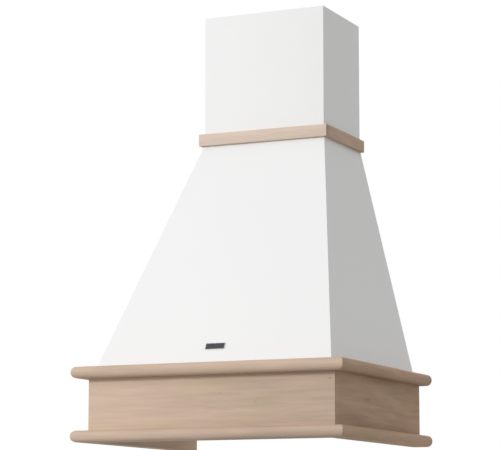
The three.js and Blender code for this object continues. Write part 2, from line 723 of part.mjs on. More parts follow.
/** Buttons in their bezel, with z = 0 at the deck's lower face. */
function controls() {
  const group = new THREE.Group();
  const rise = BUTTON_BORDER / 2 - CLEAR; // of the skirt round the row
  const rimSeat = SHEET;
  const skirtTop = rimSeat + BUTTON_RIM_THICKNESS + BUTTON_TRAVEL + 2 * CLEAR;
  const bezelZ = [-CLEAR - BEZEL_THICKNESS, -CLEAR];
  const buttonX = (i) => (i - (BUTTON_NAMES.length - 1) / 2) * BUTTON_PITCH;
  /** A block round one button, its rim's width added on both sides in x. */
  const around = (i, rim, clear, heights) => {
    const half = BUTTON_WIDTH / 2 + rim + clear;
    const halfDepth = BUTTON_DEPTH / 2 + clear;
    return box([buttonX(i) - half, buttonX(i) + half], [-halfDepth, halfDepth], heights);
  };
  const windows = BUTTON_NAMES.flatMap((_, i) => [
    around(i, 0, SLIDE_CLEAR, [bezelZ[0] - OVERCUT, skirtTop + OVERCUT]),
    around(i, BUTTON_RIM, SLIDE_CLEAR, [rimSeat, skirtTop + OVERCUT]),
  ]);
  const bezel = union(
    box([-bezelHalfWidth, bezelHalfWidth], [-bezelHalfDepth, bezelHalfDepth], bezelZ),
    box(
      [-rowHalfWidth - rise, rowHalfWidth + rise],
      [-BUTTON_DEPTH / 2 - rise, BUTTON_DEPTH / 2 + rise],
      [bezelZ[0], skirtTop],
    ),
  );
  piece(group, "switch_bezel", cut(bezel, windows), blackPlastic);
  const rimZ = [rimSeat + CLEAR, rimSeat + CLEAR + BUTTON_RIM_THICKNESS];
  BUTTON_NAMES.forEach((name, i) => {
    const cap = around(i, 0, 0, [bezelZ[0] - BUTTON_PROUD, rimZ[1]]);
    piece(group, name, union(cap, around(i, BUTTON_RIM, 0, rimZ)), greyPlastic);
  });
  const boxZ = skirtTop + CLEAR;
  const body = box(
    [-rowHalfWidth - rise, rowHalfWidth + rise],
    [-BUTTON_DEPTH / 2 - rise, BUTTON_DEPTH / 2 + rise],
    [boxZ, boxZ + SWITCH_BOX_HEIGHT],
  );
  piece(group, "switch_box", body, greyPlastic);
  return group;
}

// ---------------------------------------------------------------- shelf and blower

const tongueY = SCROLL_START_RADIUS * Math.cos(radians(SCROLL_START_DEG)); // lip of the blower's outlet
const outletY = -BLOWER_FROM_WALL + (SCROLL_END_RADIUS + tongueY) / 2;

function shelf() {
  const low = shelfZ - SHELF_FLANGE;
  const inset = sideSheet + CLEAR;
  const halfWidth = canopyHalfWidth(shelfZ + SHELF_SHEET) - inset;
  const depth = canopyDepth(shelfZ + SHELF_SHEET) - frontSheet - SHELF_FRONT_CLEAR;
  const back = -SHEET - CLEAR;
  const plate = box([-halfWidth, halfWidth], [-depth, back], [shelfZ, shelfZ + SHELF_SHEET]);
  const backFlange = box(
    [-halfWidth + CORNER_LAP, halfWidth - CORNER_LAP],
    [back, back - SHELF_SHEET],
    [low, shelfZ + SHELF_SHEET],
  );
  const sideFlanges = [-1, 1].map((side) => {
    return sideStrip(side, inset, () => [-depth, -CORNER_LAP - CLEAR - SHEET], low, shelfZ + SHELF_SHEET);
  });
  const frontFlange = box(
    [-halfWidth + CORNER_LAP, halfWidth - CORNER_LAP],
    [-depth, -depth + SHELF_SHEET],
    [low, shelfZ + SHELF_SHEET],
  );
  const through = [low, shelfZ + 2 * SHELF_SHEET];
  const ductHole = disc(SPIGOT_RADIUS - SPIGOT_WALL, ...through).translate([0, outletY, 0]);
  const cableHole = disc(GLAND_BORE, ...through).translate([GLAND_X, -GLAND_FROM_WALL, 0]);
  const lapRelief = [-1, 1].map((side) => {
    const x = [side * (halfWidth - 2 * sideSheet - CLEAR), side * (halfWidth + CORNER_LAP)];
    return box(x, [-CORNER_LAP - CLEAR, OVERCUT], [low - OVERCUT, through[1]]);
  });
  return cut(union(plate, backFlange, sideFlanges, frontFlange), ductHole, cableHole, lapRelief);
}

/** Outline of the scroll in (y, z) round the axis, grown by an offset, open at the outlet's top. */
function scrollOutline(offset, topZ) {
  const start = radians(SCROLL_START_DEG);
  const end = Math.PI * 2;
  const radiusAt = (angle) => {
    const share = (angle - start) / (end - start);
    return SCROLL_START_RADIUS + (SCROLL_END_RADIUS - SCROLL_START_RADIUS) * share + offset;
  };
  const lip = tongueY - offset;
  const first = Math.acos(lip / radiusAt(start));
  const points = [[lip, topZ]];
  for (let i = 0; i <= SCROLL_STEPS; i++) {
    const angle = first + ((end - first) * i) / SCROLL_STEPS;
    points.push([radiusAt(angle) * Math.cos(angle), radiusAt(angle) * Math.sin(angle)]);
  }
  points.push([SCROLL_END_RADIUS + offset, topZ]);
  return outline(points);
}

function casingHalf(side) {
  const top = BLOWER_BELOW_SHELF - CLEAR;
  const join = side * (CLEAR / 2);
  const face = side * CASING_HALF_WIDTH;
  const shell = alongX(scrollOutline(SCROLL_WALL, top), join, face);
  const flange = box(
    [join, face + side * CASING_FLANGE],
    [tongueY - SCROLL_WALL - CASING_FLANGE, SCROLL_END_RADIUS + SCROLL_WALL + CASING_FLANGE],
    [top - SCROLL_WALL, top],
  );
  const hollow = alongX(scrollOutline(0, top + OVERCUT), -side * OVERCUT, face - side * SCROLL_WALL);
  const ends = [(CASING_HALF_WIDTH - CASING_FLANGE) * side, (CASING_HALF_WIDTH + CASING_FLANGE) * side];
  const inlet = disc(INLET_RADIUS, Math.min(...ends), Math.max(...ends), "x");
  return cut(union(shell, flange), hollow, inlet);
}

function impeller() {
  const inner = IMPELLER_RADIUS - IMPELLER_RING;
  const half = IMPELLER_HALF_WIDTH;
  const plate = disc(IMPELLER_RADIUS, -IMPELLER_PLATE / 2, IMPELLER_PLATE / 2, "x");
  const hub = disc(HUB_RADIUS, -HUB_HALF_LENGTH, HUB_HALF_LENGTH, "x");
  const ring = (x) => tube(inner, IMPELLER_RADIUS, x, x + IMPELLER_PLATE, "x");
  const blade = box(
    [-half + IMPELLER_PLATE / 2, half - IMPELLER_PLATE / 2],
    [-BLADE_THICKNESS / 2, BLADE_THICKNESS / 2],
    [inner + BLADE_INSET, IMPELLER_RADIUS - 2 * BLADE_INSET],
  );
  const bladeAt = (i) => blade.rotate([((i + 0.5) * 360) / BLADE_COUNT, 0, 0]);
  const blades = Array.from({ length: BLADE_COUNT }, (_, i) => bladeAt(i));
  const bore = disc(SHAFT_RADIUS + CLEAR, -HUB_HALF_LENGTH - OVERCUT, HUB_HALF_LENGTH + OVERCUT, "x");
  return cut(union(plate, hub, ring(-half), ring(half - IMPELLER_PLATE), blades), bore);
}

/** Everything of the blower, round its own axis. */
function blower() {
  const group = new THREE.Group();
  piece(group, "blower_casing_left", casingHalf(-1), blackPlastic);
  piece(group, "blower_casing_right", casingHalf(1), blackPlastic);
  piece(group, "impeller", impeller(), greyPlastic);

  const end = MOTOR_START + MOTOR_LENGTH;
  const shaftEnds = [-HUB_HALF_LENGTH - SHAFT_STUB, end - CLEAR];
  piece(group, "motor_shaft", disc(SHAFT_RADIUS, ...shaftEnds, "x"), steel);

  const seat = BEARING_WIDTH + CLEAR;
  const passage = SHAFT_RADIUS + SHAFT_PASSAGE;
  const motor = turned(
    [
      [BEARING_RADIUS + CLEAR, MOTOR_START],
      [MOTOR_RADIUS - MOTOR_SHOULDER, MOTOR_START],
      [MOTOR_RADIUS, MOTOR_START + MOTOR_SHOULDER],
      [MOTOR_RADIUS, end - MOTOR_SHOULDER],
      [MOTOR_RADIUS - MOTOR_SHOULDER, end],
      [BEARING_RADIUS + CLEAR, end],
      [BEARING_RADIUS + CLEAR, end - seat],
      [passage, end - seat],
      [passage, MOTOR_START + seat],
      [BEARING_RADIUS + CLEAR, MOTOR_START + seat],
      [BEARING_RADIUS + CLEAR, MOTOR_START],
    ],
    "x",
  );
  piece(group, "motor", motor, galvanised);
  const bearing = (x) => tube(SHAFT_RADIUS + CLEAR, BEARING_RADIUS, x, x + BEARING_WIDTH, "x");
  piece(group, "motor_bearing_inner", bearing(MOTOR_START), steel);
  piece(group, "motor_bearing_outer", bearing(end - BEARING_WIDTH), steel);

  const spiderX = CASING_HALF_WIDTH + CLEAR;
  const spider = [spiderX, spiderX + SPIDER_THICKNESS];
  const ring = tube(MOTOR_RADIUS + CLEAR, MOTOR_RADIUS + SPIDER_RING, ...spider, "x");
  const arm = box(
    spider,
    [-SPIDER_ARM / 2, SPIDER_ARM / 2],
    [MOTOR_RADIUS + SPIDER_RING / 2, INLET_RADIUS + SPIDER_ARM],
  );
  const arms = SPIDER_ARM_DEGREES.map((angle) => arm.rotate([angle, 0, 0]));
  piece(group, "motor_spider", union(ring, arms), galvanised);
  group.position.set(0, -BLOWER_FROM_WALL, shelfZ - BLOWER_BELOW_SHELF);
  return group;
}

// ---------------------------------------------------------------- outlet and its flaps

/** One flap round the pin, towards -1 (the room) or 1 (the wall), and where its knuckles start. */
function flap(towards, knuckleStarts) {
  const radius = SPIGOT_RADIUS - SPIGOT_WALL - FLAP_EDGE_CLEAR;
  const knuckle = PIN_RADIUS + SLIDE_CLEAR + KNUCKLE_WALL;
  const halfDisc = new THREE.Shape();
  const rootAngle = Math.asin(FLAP_ROOT / radius);
  if (towards > 0) halfDisc.absarc(0, 0, radius, rootAngle, Math.PI - rootAngle);
  else halfDisc.absarc(0, 0, radius, Math.PI + rootAngle, Math.PI * 2 - rootAngle);
  const half = FLAP_THICKNESS / 2;
  const plate = alongZ(halfDisc, -half, half);
  const lugs = knuckleStarts.flatMap((x) => [
    disc(knuckle, x, x + KNUCKLE_LENGTH, "x"),
    box([x, x + KNUCKLE_LENGTH], [0, towards * (FLAP_ROOT + KNUCKLE_LAP)], [-half, half]),
  ]);
  const bore = disc(PIN_RADIUS + SLIDE_CLEAR, -radius, radius, "x");
  return cut(union(plate, lugs), bore);
}

function outlet() {
  const group = new THREE.Group();
  const inner = SPIGOT_RADIUS - SPIGOT_WALL;
  const flange = SPIGOT_RADIUS + SPIGOT_FLANGE;
  const ledgeTop = FLAP_HEIGHT - FLAP_THICKNESS / 2 - CLEAR;
  const base = cut(
    box([-flange, flange], [-flange, flange], [0, SPIGOT_WALL]),
    disc(SPIGOT_RADIUS - SPIGOT_WALL / 2, -OVERCUT, SPIGOT_WALL + OVERCUT),
  );
  const wall = tube(inner, SPIGOT_RADIUS, 0, SPIGOT_HEIGHT);
  const ledgeFoot = ledgeTop - FLAP_LEDGE_THICKNESS;
  const ledge = tube(inner - FLAP_LEDGE, inner + SPIGOT_WALL / 2, ledgeFoot, ledgeTop);
  const relief = KNUCKLE_WALL + PIN_RADIUS + SLIDE_CLEAR + OVERCUT;
  const pinRelief = [-1, 1].map((side) => {
    const x = [side * (inner - FLAP_LEDGE - 2 * OVERCUT), side * (inner - SLIDE_CLEAR)];
    return box(x, [-relief, relief], [ledgeFoot - OVERCUT, ledgeTop + OVERCUT]);
  });
  const drill = disc(PIN_RADIUS + CLEAR, -SPIGOT_RADIUS - OVERCUT, SPIGOT_RADIUS + OVERCUT, "x");
  const pinHoles = drill.translate([0, 0, FLAP_HEIGHT]);
  piece(group, "outlet_spigot", cut(union(base, wall, ledge), pinRelief, pinHoles), blackPlastic);

  const hinge = new THREE.Group();
  hinge.position.z = FLAP_HEIGHT;
  piece(hinge, "damper_pin", disc(PIN_RADIUS, -SPIGOT_RADIUS, SPIGOT_RADIUS, "x"), steel);
  const step = KNUCKLE_LENGTH + KNUCKLE_GAP;
  piece(hinge, "damper_flap_front", flap(-1, [-2 * step, step + KNUCKLE_GAP]), blackPlastic);
  piece(hinge, "damper_flap_back", flap(1, [-step, KNUCKLE_GAP]), blackPlastic);
  group.add(hinge);
  group.position.set(0, outletY, shelfZ + SHELF_SHEET);
  return group;
}

// ---------------------------------------------------------------- electrics

function electrics() {
  const group = new THREE.Group();
  const back = -SHEET - CLEAR;
  const boxFoot = FRAME_HEIGHT + CONTROL_BOX_RISE;
  const boxTop = boxFoot + CONTROL_BOX.height;
  const boxLeft = MOTOR_START + MOTOR_LENGTH + CONTROL_BOX_OFF_MOTOR;
  const boxX = [boxLeft, boxLeft + CONTROL_BOX.width];
  const boxFront = back - CONTROL_BOX.depth;
  piece(group, "control_box", box(boxX, [boxFront, back], [boxFoot, boxTop]), greyPlastic);

  const can = disc(CAPACITOR_RADIUS, boxLeft, boxLeft + CAPACITOR_LENGTH, "x");
  const canAt = [0, back - CAPACITOR_RADIUS, boxTop + CAPACITOR_RADIUS + CLEAR];
  piece(group, "capacitor", can.translate(canAt), aluminium);

  const gland = tube(GLAND_BORE, GLAND_RADIUS, 0, GLAND_HEIGHT);
  const glandAt = [GLAND_X, -GLAND_FROM_WALL, shelfZ + SHELF_SHEET];
  piece(group, "mains_gland", gland.translate(glandAt), blackPlastic);

  const motorEnd = MOTOR_START + MOTOR_LENGTH + CLEAR;
  const entryZ = shelfZ - BLOWER_BELOW_SHELF - MOTOR_RADIUS / 2;
  const onBox = ({ x, y, rise }) => new THREE.Vector3(boxLeft + x, y, boxFoot + rise);
  const route = new THREE.CatmullRomCurve3([
    onBox({ ...LEAD_EXIT, y: boxFront - CLEAR }),
    onBox({ ...LEAD_EXIT, y: boxFront - LEAD_STRAIGHT }),
    ...LEAD_BENDS.map(onBox),
    new THREE.Vector3(motorEnd + LEAD_STRAIGHT, -BLOWER_FROM_WALL, entryZ),
    new THREE.Vector3(motorEnd, -BLOWER_FROM_WALL, entryZ),
  ]);
  const section = new THREE.Path().absarc(0, 0, LEAD_RADIUS, 0, Math.PI * 2).getPoints(LEAD_SIDES);
  const lead = new THREE.ExtrudeGeometry(new THREE.Shape(section), {
    extrudePath: route,
    steps: LEAD_STEPS,
    bevelEnabled: false,
  });
  piece(group, "motor_lead", solid(lead), cable);
  return group;
}

// ---------------------------------------------------------------- the whole hood

function hood() {
  const group = new THREE.Group();
  group.add(timberFrame(), canopy(), collar(), chimney(), liner());
  for (const [side, name] of [[-1, "left"], [1, "right"]]) {
    const filterGroup = filter(name);
    filterGroup.position.set(side * apertureX, 0, DECK_RECESS - FILTER_PROUD);
    const lampGroup = lamp(name);
    lampGroup.position.set(side * lampX, stripY, DECK_RECESS);
    group.add(filterGroup, lampGroup);
  }
  const panel = controls();
  panel.position.set(0, stripY, DECK_RECESS);
  group.add(panel);
  piece(group, "blower_shelf", shelf(), galvanised);
  group.add(blower(), outlet(), electrics());
  group.position.z = -HANG_HEIGHT;
  return group;
}

const root = new THREE.Group();
root.add(hood());

export default root;
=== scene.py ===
"""Dresses a wall-mounted range hood: a white steel canopy and chimney over a frame of raw timber.

Metres, +Z up, with the wall at y = 0, the room on the -Y side and the origin between the hanging
keyholes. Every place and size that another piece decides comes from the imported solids.
"""

import itertools
import math

import bmesh
import bpy
from bpy.props import FloatProperty, FloatVectorProperty, IntProperty, PointerProperty
from bpy.types import Operator, Panel, PropertyGroup
from mathutils import Matrix, Vector


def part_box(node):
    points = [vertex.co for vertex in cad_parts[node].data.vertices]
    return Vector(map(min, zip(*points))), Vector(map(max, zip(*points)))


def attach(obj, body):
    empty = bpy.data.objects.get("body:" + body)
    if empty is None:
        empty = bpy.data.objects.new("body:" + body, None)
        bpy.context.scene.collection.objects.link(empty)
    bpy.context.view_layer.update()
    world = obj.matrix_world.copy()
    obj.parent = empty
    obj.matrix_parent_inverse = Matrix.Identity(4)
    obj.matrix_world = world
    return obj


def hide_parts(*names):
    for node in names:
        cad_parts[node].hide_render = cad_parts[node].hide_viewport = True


bl_info = {
    "name": "Timber Range Hood",
    "version": (1, 0, 0),
    "blender": (4, 5, 0),
    "location": "3D View > Sidebar > Range Hood",
    "description": "Timber, paint, metal and fittings for a wall-mounted range hood",
    "category": "Object",
}

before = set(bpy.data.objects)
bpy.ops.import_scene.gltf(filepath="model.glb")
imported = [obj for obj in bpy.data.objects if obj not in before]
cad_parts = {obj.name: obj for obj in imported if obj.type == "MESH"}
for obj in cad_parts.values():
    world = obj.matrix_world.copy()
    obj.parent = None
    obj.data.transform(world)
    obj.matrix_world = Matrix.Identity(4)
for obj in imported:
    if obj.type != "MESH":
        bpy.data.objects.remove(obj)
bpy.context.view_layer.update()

MM = 0.001
HOOD = "hood"  # the body that hangs on the wall
SIDES = {"left": -1, "right": 1}
WALLS = ("front", "left", "right")
UP, DOWN = Vector((0, 0, 1)), Vector((0, 0, -1))
ALONG_X, TO_ROOM = Vector((1, 0, 0)), Vector((0, -1, 0))
FINE, COARSE = 96, 32  # faces round a wide solid and round a thin one


def written(*levels):
    """A colour given by its screen levels from 0 to 255, in the linear values that a property holds."""
    shares = [level / 255 for level in levels]
    return [share / 12.92 if share <= 0.04045 else ((share + 0.055) / 1.055) ** 2.4 for share in shares]


def colour_setting(name, description, *levels):
    return FloatVectorProperty(
        name=name, description=description, subtype="COLOR", size=3, min=0, max=1, default=written(*levels)
    )


def length_setting(name, description, default, **limits):
    return FloatProperty(
        name=name, description=description, default=default, subtype="DISTANCE", unit="LENGTH", **limits
    )


def number_setting(name, description, default, **limits):
    return FloatProperty(name=name, description=description, default=default, **limits)


def place_setting(name, description, *place):
    return FloatVectorProperty(
        name=name, description=description, subtype="XYZ", unit="LENGTH", default=place
    )


# ---------------- settings


class TimberSettings(PropertyGroup):
    """Raw timber of the frame and the collar"""

    colour: colour_setting("Colour", "Middle colour of the raw timber", 203, 180, 160)
    warm: colour_setting("Warm Streaks", "Pinkish heartwood streaks", 206, 181, 163)
    olive: colour_setting("Olive Streaks", "Slightly green sapwood streaks", 200, 181, 155)
    figure: number_setting("Figure", "Contrast of the growth rings", 0.022, min=0, max=1)
    ring_spacing: length_setting("Ring Spacing", "Between growth rings", 5.5 * MM, min=MM)
    corner_rounding: length_setting("Corner Rounding", "Radius of a moulding's corner", 4 * MM, min=0.1 * MM)
    eased_edge: length_setting("Eased Edge", "Sanded edge of a board", 0.5 * MM, min=0)
    nose_steps: IntProperty(name="Nose Steps", description="Faces round a moulding's nose", default=28, min=4)


class PaintSettings(PropertyGroup):
    """White powder coat of the canopy, the chimney and the deck"""

    colour: colour_setting("Colour", "White powder coat", 240, 240, 240)
    roughness: number_setting("Roughness", "Roughness of the coat", 0.66, min=0, max=1)
    peel: length_setting("Peel", "Distance between the coat's fine ripples", 1.6 * MM, min=0.1 * MM)
    fold_radius: length_setting("Fold Radius", "Outer radius of a folded corner", 1.2 * MM, min=0.9 * MM)


class MetalSettings(PropertyGroup):
    """Bare metals"""

    galvanised: colour_setting("Galvanised", "Galvanised steel sheet", 184, 188, 191)
    spangle: length_setting("Spangle", "Size of the zinc's crystals", 9 * MM, min=MM)
    aluminium: colour_setting("Aluminium", "Rims of the filters", 205, 207, 209)
    mesh: colour_setting("Mesh", "Bright aluminium of the filters' mesh", 228, 230, 231)
    steel: colour_setting("Steel", "Lamps, pins and screws", 178, 180, 182)
    mesh_cell: length_setting("Mesh Cell", "Length of one diamond of the expanded mesh", 5.2 * MM, min=MM)
    mesh_strand: length_setting("Mesh Strand", "Width of a strand of that mesh", 0.75 * MM, min=0.1 * MM)


class FittingSettings(PropertyGroup):
    """Plastics, enamel and small fittings"""

    black: colour_setting("Black Plastic", "Blower casing, bezel and latches", 34, 35, 37)
    grey: colour_setting("Grey Plastic", "Buttons, impeller and boxes", 141, 144, 147)
    enamel: colour_setting("Enamel", "Field of the blank nameplate", 62, 64, 67)
    glass: colour_setting("Frosted Lens", "Lenses of the lamps", 240, 240, 234)
    cable: colour_setting("Cable", "Sheath of the motor's lead", 34, 34, 35)
    screw_radius: length_setting("Screw Head", "Radius of a screw's head", 3.4 * MM, min=MM)


class StageSettings(PropertyGroup):
    """Floor, light and camera"""

    floor: colour_setting("Floor", "Floor in the light that it returns to the hood", 176, 176, 174)
    floor_white: number_setting("White Floor", "Share of the floor that looks white", 0.75, min=0, max=1)
    floor_height: length_setting("Floor Height", "Floor's level, from the hanging keyholes", -2.25)
    ambient: number_setting("Ambient", "Strength of the even studio light", 0.625, min=0)
    key_power: number_setting("Key Light", "Power of the large soft light", 265.0, min=0)
    key_place: place_setting("Key Place", "Where the large soft light stands", -3.4, -6.4, 1.85)
    back_power: number_setting("Back Light", "Power of the light on the back", 260.0, min=0)
    back_place: place_setting("Back Place", "Where the light on the back stands", -2.5, 6.5, 2.2)
    light_width: length_setting("Light Width", "Width of the soft lights", 3.0)
    light_height: length_setting("Light Height", "Height of the soft lights", 1.4)
    lens: number_setting("Lens", "Focal length in millimetres", 151.97, min=1)
    camera_place: place_setting("Camera Place", "Where the camera stands", 1.8072, -4.2744, -0.7571)
    camera_yaw: number_setting("Yaw", "Turn to the left", 0.4249, subtype="ANGLE")
    camera_pitch: number_setting("Pitch", "Tilt upwards", 0.1484, subtype="ANGLE")


GROUPS = {
    "timber": TimberSettings,
    "paint": PaintSettings,
    "metal": MetalSettings,
    "fitting": FittingSettings,
    "stage": StageSettings,
}


class HoodSettings(PropertyGroup):
    """All settings of the hood"""

    __annotations__ = {name: PointerProperty(type=kind) for name, kind in GROUPS.items()}


# ---------------- node trees


class Signal:
    """One value in a node tree. Arithmetic on it adds Math nodes."""

    def __init__(self, tree, socket):
        self.tree, self.socket = tree, socket

    def math(self, operation, *others):
        """A Math node whose first value is this one."""
        return self.tree.node("ShaderNodeMath", dict(enumerate((self, *others))), operation=operation)

    def __add__(self, other):
        return self.math("ADD", other)

    def __sub__(self, other):
        return self.math("SUBTRACT", other)

    def __rsub__(self, other):
        return self * -1 + other

    def __mul__(self, other):
        return self.math("MULTIPLY", other)

    def __truediv__(self, other):
        return self.math("DIVIDE", other)

    __radd__, __rmul__ = __add__, __mul__

    def wave(self):
        """Sine of the value, counted in whole turns."""
        return (self * math.tau).math("SINE")


class Nodes:
    """A node tree under construction."""

    def __init__(self, tree):
        self.tree = tree

    def node(self, kind, sockets=None, output=0, **settings):
        """Adds a node: its settings first, then the values or links of its sockets."""
        made = self.tree.nodes.new(kind)
        for name, value in settings.items():
            setattr(made, name, value)
        for name, value in (sockets or {}).items():
            if isinstance(value, Signal):
                self.tree.links.new(value.socket, made.inputs[name])
            else:
                made.inputs[name].default_value = value
        return Signal(self, made.outputs[output]) if made.outputs else None

    def axis(self, place, letter):
        return self.node("ShaderNodeSeparateXYZ", {0: place}, letter)

    def joined(self, **parts):
        return self.node("ShaderNodeCombineXYZ", parts)


def rgba(colour):
    return colour if isinstance(colour, Signal) else (*colour, 1)


class Finish(Nodes):
    """A material for the surface of one kind of piece."""

    def __init__(self, name, **constants):
        self.material = bpy.data.materials.new(f"{name}_finish")
        self.material.use_nodes = True
        super().__init__(self.material.node_tree)
        self.tree.nodes.clear()
        self.surface = self.node("ShaderNodeBsdfPrincipled", constants)
        self.shader = self.surface.socket.node
        self.output = self.tree.nodes.new("ShaderNodeOutputMaterial")
        self.cover(self.surface)
        self.place = self.node("ShaderNodeTexCoord", output="Object")

    def feed(self, **links):
        """Links signals to the surface. An underscore in a name stands for a space."""
        for name, signal in links.items():
            self.tree.links.new(signal.socket, self.shader.inputs[name.replace("_", " ")])

    def vector(self, operation, first, second, output=0):
        return self.node("ShaderNodeVectorMath", {0: first, 1: second}, output, operation=operation)

    def stretched(self, place, *scale):
        return self.vector("MULTIPLY", place, scale)

    def noise(self, scale, detail=2.0, place=None):
        """Noise round 0, from about -0.5 to 0.5."""
        sockets = {"Vector": place or self.place, "Scale": scale, "Detail": detail}
        return self.node("ShaderNodeTexNoise", sockets) - 0.5

    def crystals(self, scale, place=None):
        """A level from 0 to 1 for each cell of a Voronoi pattern."""
        cells = self.node("ShaderNodeTexVoronoi", {"Vector": place or self.place, "Scale": scale}, "Color")
        return self.node("ShaderNodeSeparateColor", {0: cells})

    def step(self, value, low, high):
        """A smooth step from 0 at low to 1 at high."""
        sockets = {"Value": value, "From Min": low, "From Max": high}
        return self.node("ShaderNodeMapRange", sockets, interpolation_type="SMOOTHSTEP")

    def spot(self, centre, size):
        """1 at a place, fading to 0 at the surface of an ellipsoid round it."""
        scale = [1 / length for length in size]
        heart = [c * s for c, s in zip(centre, scale)]
        distance = self.vector("DISTANCE", self.stretched(self.place, *scale), heart, "Value")
        return 1 - self.step(distance, 0.1, 1.0)

    def mix(self, share, first, second):
        sockets = {0: share, 6: rgba(first), 7: rgba(second)}
        return self.node("ShaderNodeMix", sockets, 2, data_type="RGBA")

    def toned(self, colour, tone):
        """A colour made lighter or darker by a factor."""
        return self.node("ShaderNodeVectorMath", {0: colour, "Scale": tone}, operation="SCALE")

    def look(self, colour, tone, gloss):
        """Gives the surface a colour times a tone, and a roughness."""
        self.feed(Base_Color=self.toned(colour, tone), Roughness=gloss)

    def cover(self, shader, share=None):
        """Shows a shader in place of what the surface shows so far, or in a share of it."""
        if share:
            shader = self.node("ShaderNodeMixShader", {0: share, 1: self.surface, 2: shader})
        self.surface = shader
        self.tree.links.new(shader.socket, self.output.inputs["Surface"])

    def bump(self, height, distance, strength=1.0):
        sockets = {"Height": height, "Distance": distance, "Strength": strength}
        self.feed(Normal=self.node("ShaderNodeBump", sockets))


class Maker(Nodes):
    """A geometry node tree with named inputs, run once to give a plain mesh."""

    KINDS = {float: "NodeSocketFloat", int: "NodeSocketInt"}  # a data block's socket is named after its type

    def __init__(self, name, inputs, material):
        super().__init__(bpy.data.node_groups.new(name, "GeometryNodeTree"))
        sockets = self.tree.interface
        for way in ("INPUT", "OUTPUT"):
            sockets.new_socket("Geometry", in_out=way, socket_type="NodeSocketGeometry")
        self.values = {}
        for label, value in {**inputs, "Finish": material}.items():
            kind = self.KINDS.get(type(value)) or "NodeSocket" + type(value).__name__
            self.values[sockets.new_socket(label, in_out="INPUT", socket_type=kind).identifier] = value
        self.inputs = self.tree.nodes.new("NodeGroupInput").outputs

    def __getitem__(self, label):
        return Signal(self, self.inputs[label])

    def swept(self, curve, width, height, capped=False):
        """A bar of rectangular section along a flat curve."""
        curve = self.node("GeometryNodeSetCurveNormal", {0: curve}, mode="Z_UP")
        size = {"Width": width, "Height": height}
        section = self.node("GeometryNodeCurvePrimitiveQuadrilateral", size, mode="RECTANGLE")
        sockets = {0: curve, "Profile Curve": section, "Fill Caps": capped}
        return self.node("GeometryNodeCurveToMesh", sockets)

    def mesh(self, geometry, start=None):
        """Closes the tree over its geometry and gives the mesh that it makes from its inputs."""
        whole = self.node("GeometryNodeRealizeInstances", {0: geometry})
        dressed = self.node("GeometryNodeSetMaterial", {"Geometry": whole, "Material": self["Finish"]})
        self.node("NodeGroupOutput", {0: dressed})
        carrier = bpy.data.objects.new("carrier", start or bpy.data.meshes.new("start"))
        bpy.context.collection.objects.link(carrier)
        modifier = carrier.modifiers.new("maker", "NODES")
        modifier.node_group = self.tree
        for identifier, value in self.values.items():
            modifier[identifier] = value
        graph = bpy.context.evaluated_depsgraph_get()
        made = bpy.data.meshes.new_from_object(carrier.evaluated_get(graph))
        bpy.data.objects.remove(carrier)
        return made


# ---------------- finishes


def timber_finish(name, settings, along, shift, tint_and_shade, contrast=1.0, marks=()):
    """Raw timber with its grain along x or y. A mark is (centre, size, darkness); some marks are painted
    light and shade, and the right boards' tint holds painted shade.
    """
    finish = Finish(name, **{"Specular IOR Level": 0.2})
    turn = (0, 0, 0 if along == "x" else math.pi / 2)
    mapping = {"Vector": finish.place, "Location": shift, "Rotation": turn}
    board = finish.node("ShaderNodeMapping", mapping)

    def grain(lengthways, crossways, detail=2.0):
        """Noise drawn out along the board, from its two frequencies."""
        return finish.noise(1.0, detail, finish.stretched(board, lengthways, crossways, crossways))

    level = finish.axis(board, "Z") + finish.axis(board, "Y") * 0.6
    rings = (level / settings.ring_spacing + grain(2.2, 11, 3.0) * 16).wave()
    fibres, streaks, bands = grain(14, 700), grain(9, 100, 4.0), grain(5, 30)
    pores, flecks = finish.step(grain(75, 1300), 0.17, 0.24), finish.step(grain(13, 230), 0.14, 0.22)
    hue = finish.mix(finish.step(grain(8, 26, 1.0), -0.3, 0.02), settings.olive, settings.warm)
    hue = finish.vector("MULTIPLY", finish.mix(0.3, hue, settings.colour), tint_and_shade)
    figure = rings * (settings.figure / 2) + fibres * 0.06 + streaks * 0.32 + bands * 0.22
    light = 1 + figure * contrast + flecks * 0.05 - pores * 0.07
    # Each mark darkens or lightens the board round a place: knots and streaks, and painted light and shade.
    for centre, size, darkness in marks:
        light = light - finish.spot(centre, size) * darkness
    finish.look(hue, light, 0.78 + fibres * 0.2 - flecks * 0.05)
    finish.bump(fibres * 0.6 + rings * 0.15 - pores * 0.8, 0.12 * MM, 0.6)
    return finish.material


def end_grain_finish(name, settings, heart):
    """The sawn end of a board: open pores, and arcs of growth rings round a heart outside it."""
    finish = Finish(name)
    wander = finish.noise(45.0)
    spread = finish.vector("DISTANCE", finish.place, heart, "Value")
    rings = (spread / (settings.ring_spacing / 2) + wander * 1.2).wave()
    pores = finish.step(finish.noise(1500.0), 0.12, 0.22)
    hue = finish.mix(0.5 + wander, settings.warm, settings.olive)
    finish.look(hue, 0.86 + rings * 0.05 + wander * 0.08 - pores * 0.16, 0.85 + pores * 0.1)
    finish.bump(rings * 0.3 - pores, 0.15 * MM, 0.5)
    return finish.material


def paint_finish(name, settings):
    """White powder coat: a fine ripple, and a faint drift in tone and gloss."""
    finish = Finish(name, IOR=1.45)
    peel, drift = finish.noise(1 / settings.peel), finish.noise(3.5)
    gloss = settings.roughness + drift * 0.08 + finish.noise(260.0) * 0.05
    finish.look(settings.colour, 1 + drift * 0.015, gloss)
    finish.bump(peel + drift * 6, 0.05 * MM, 0.35)


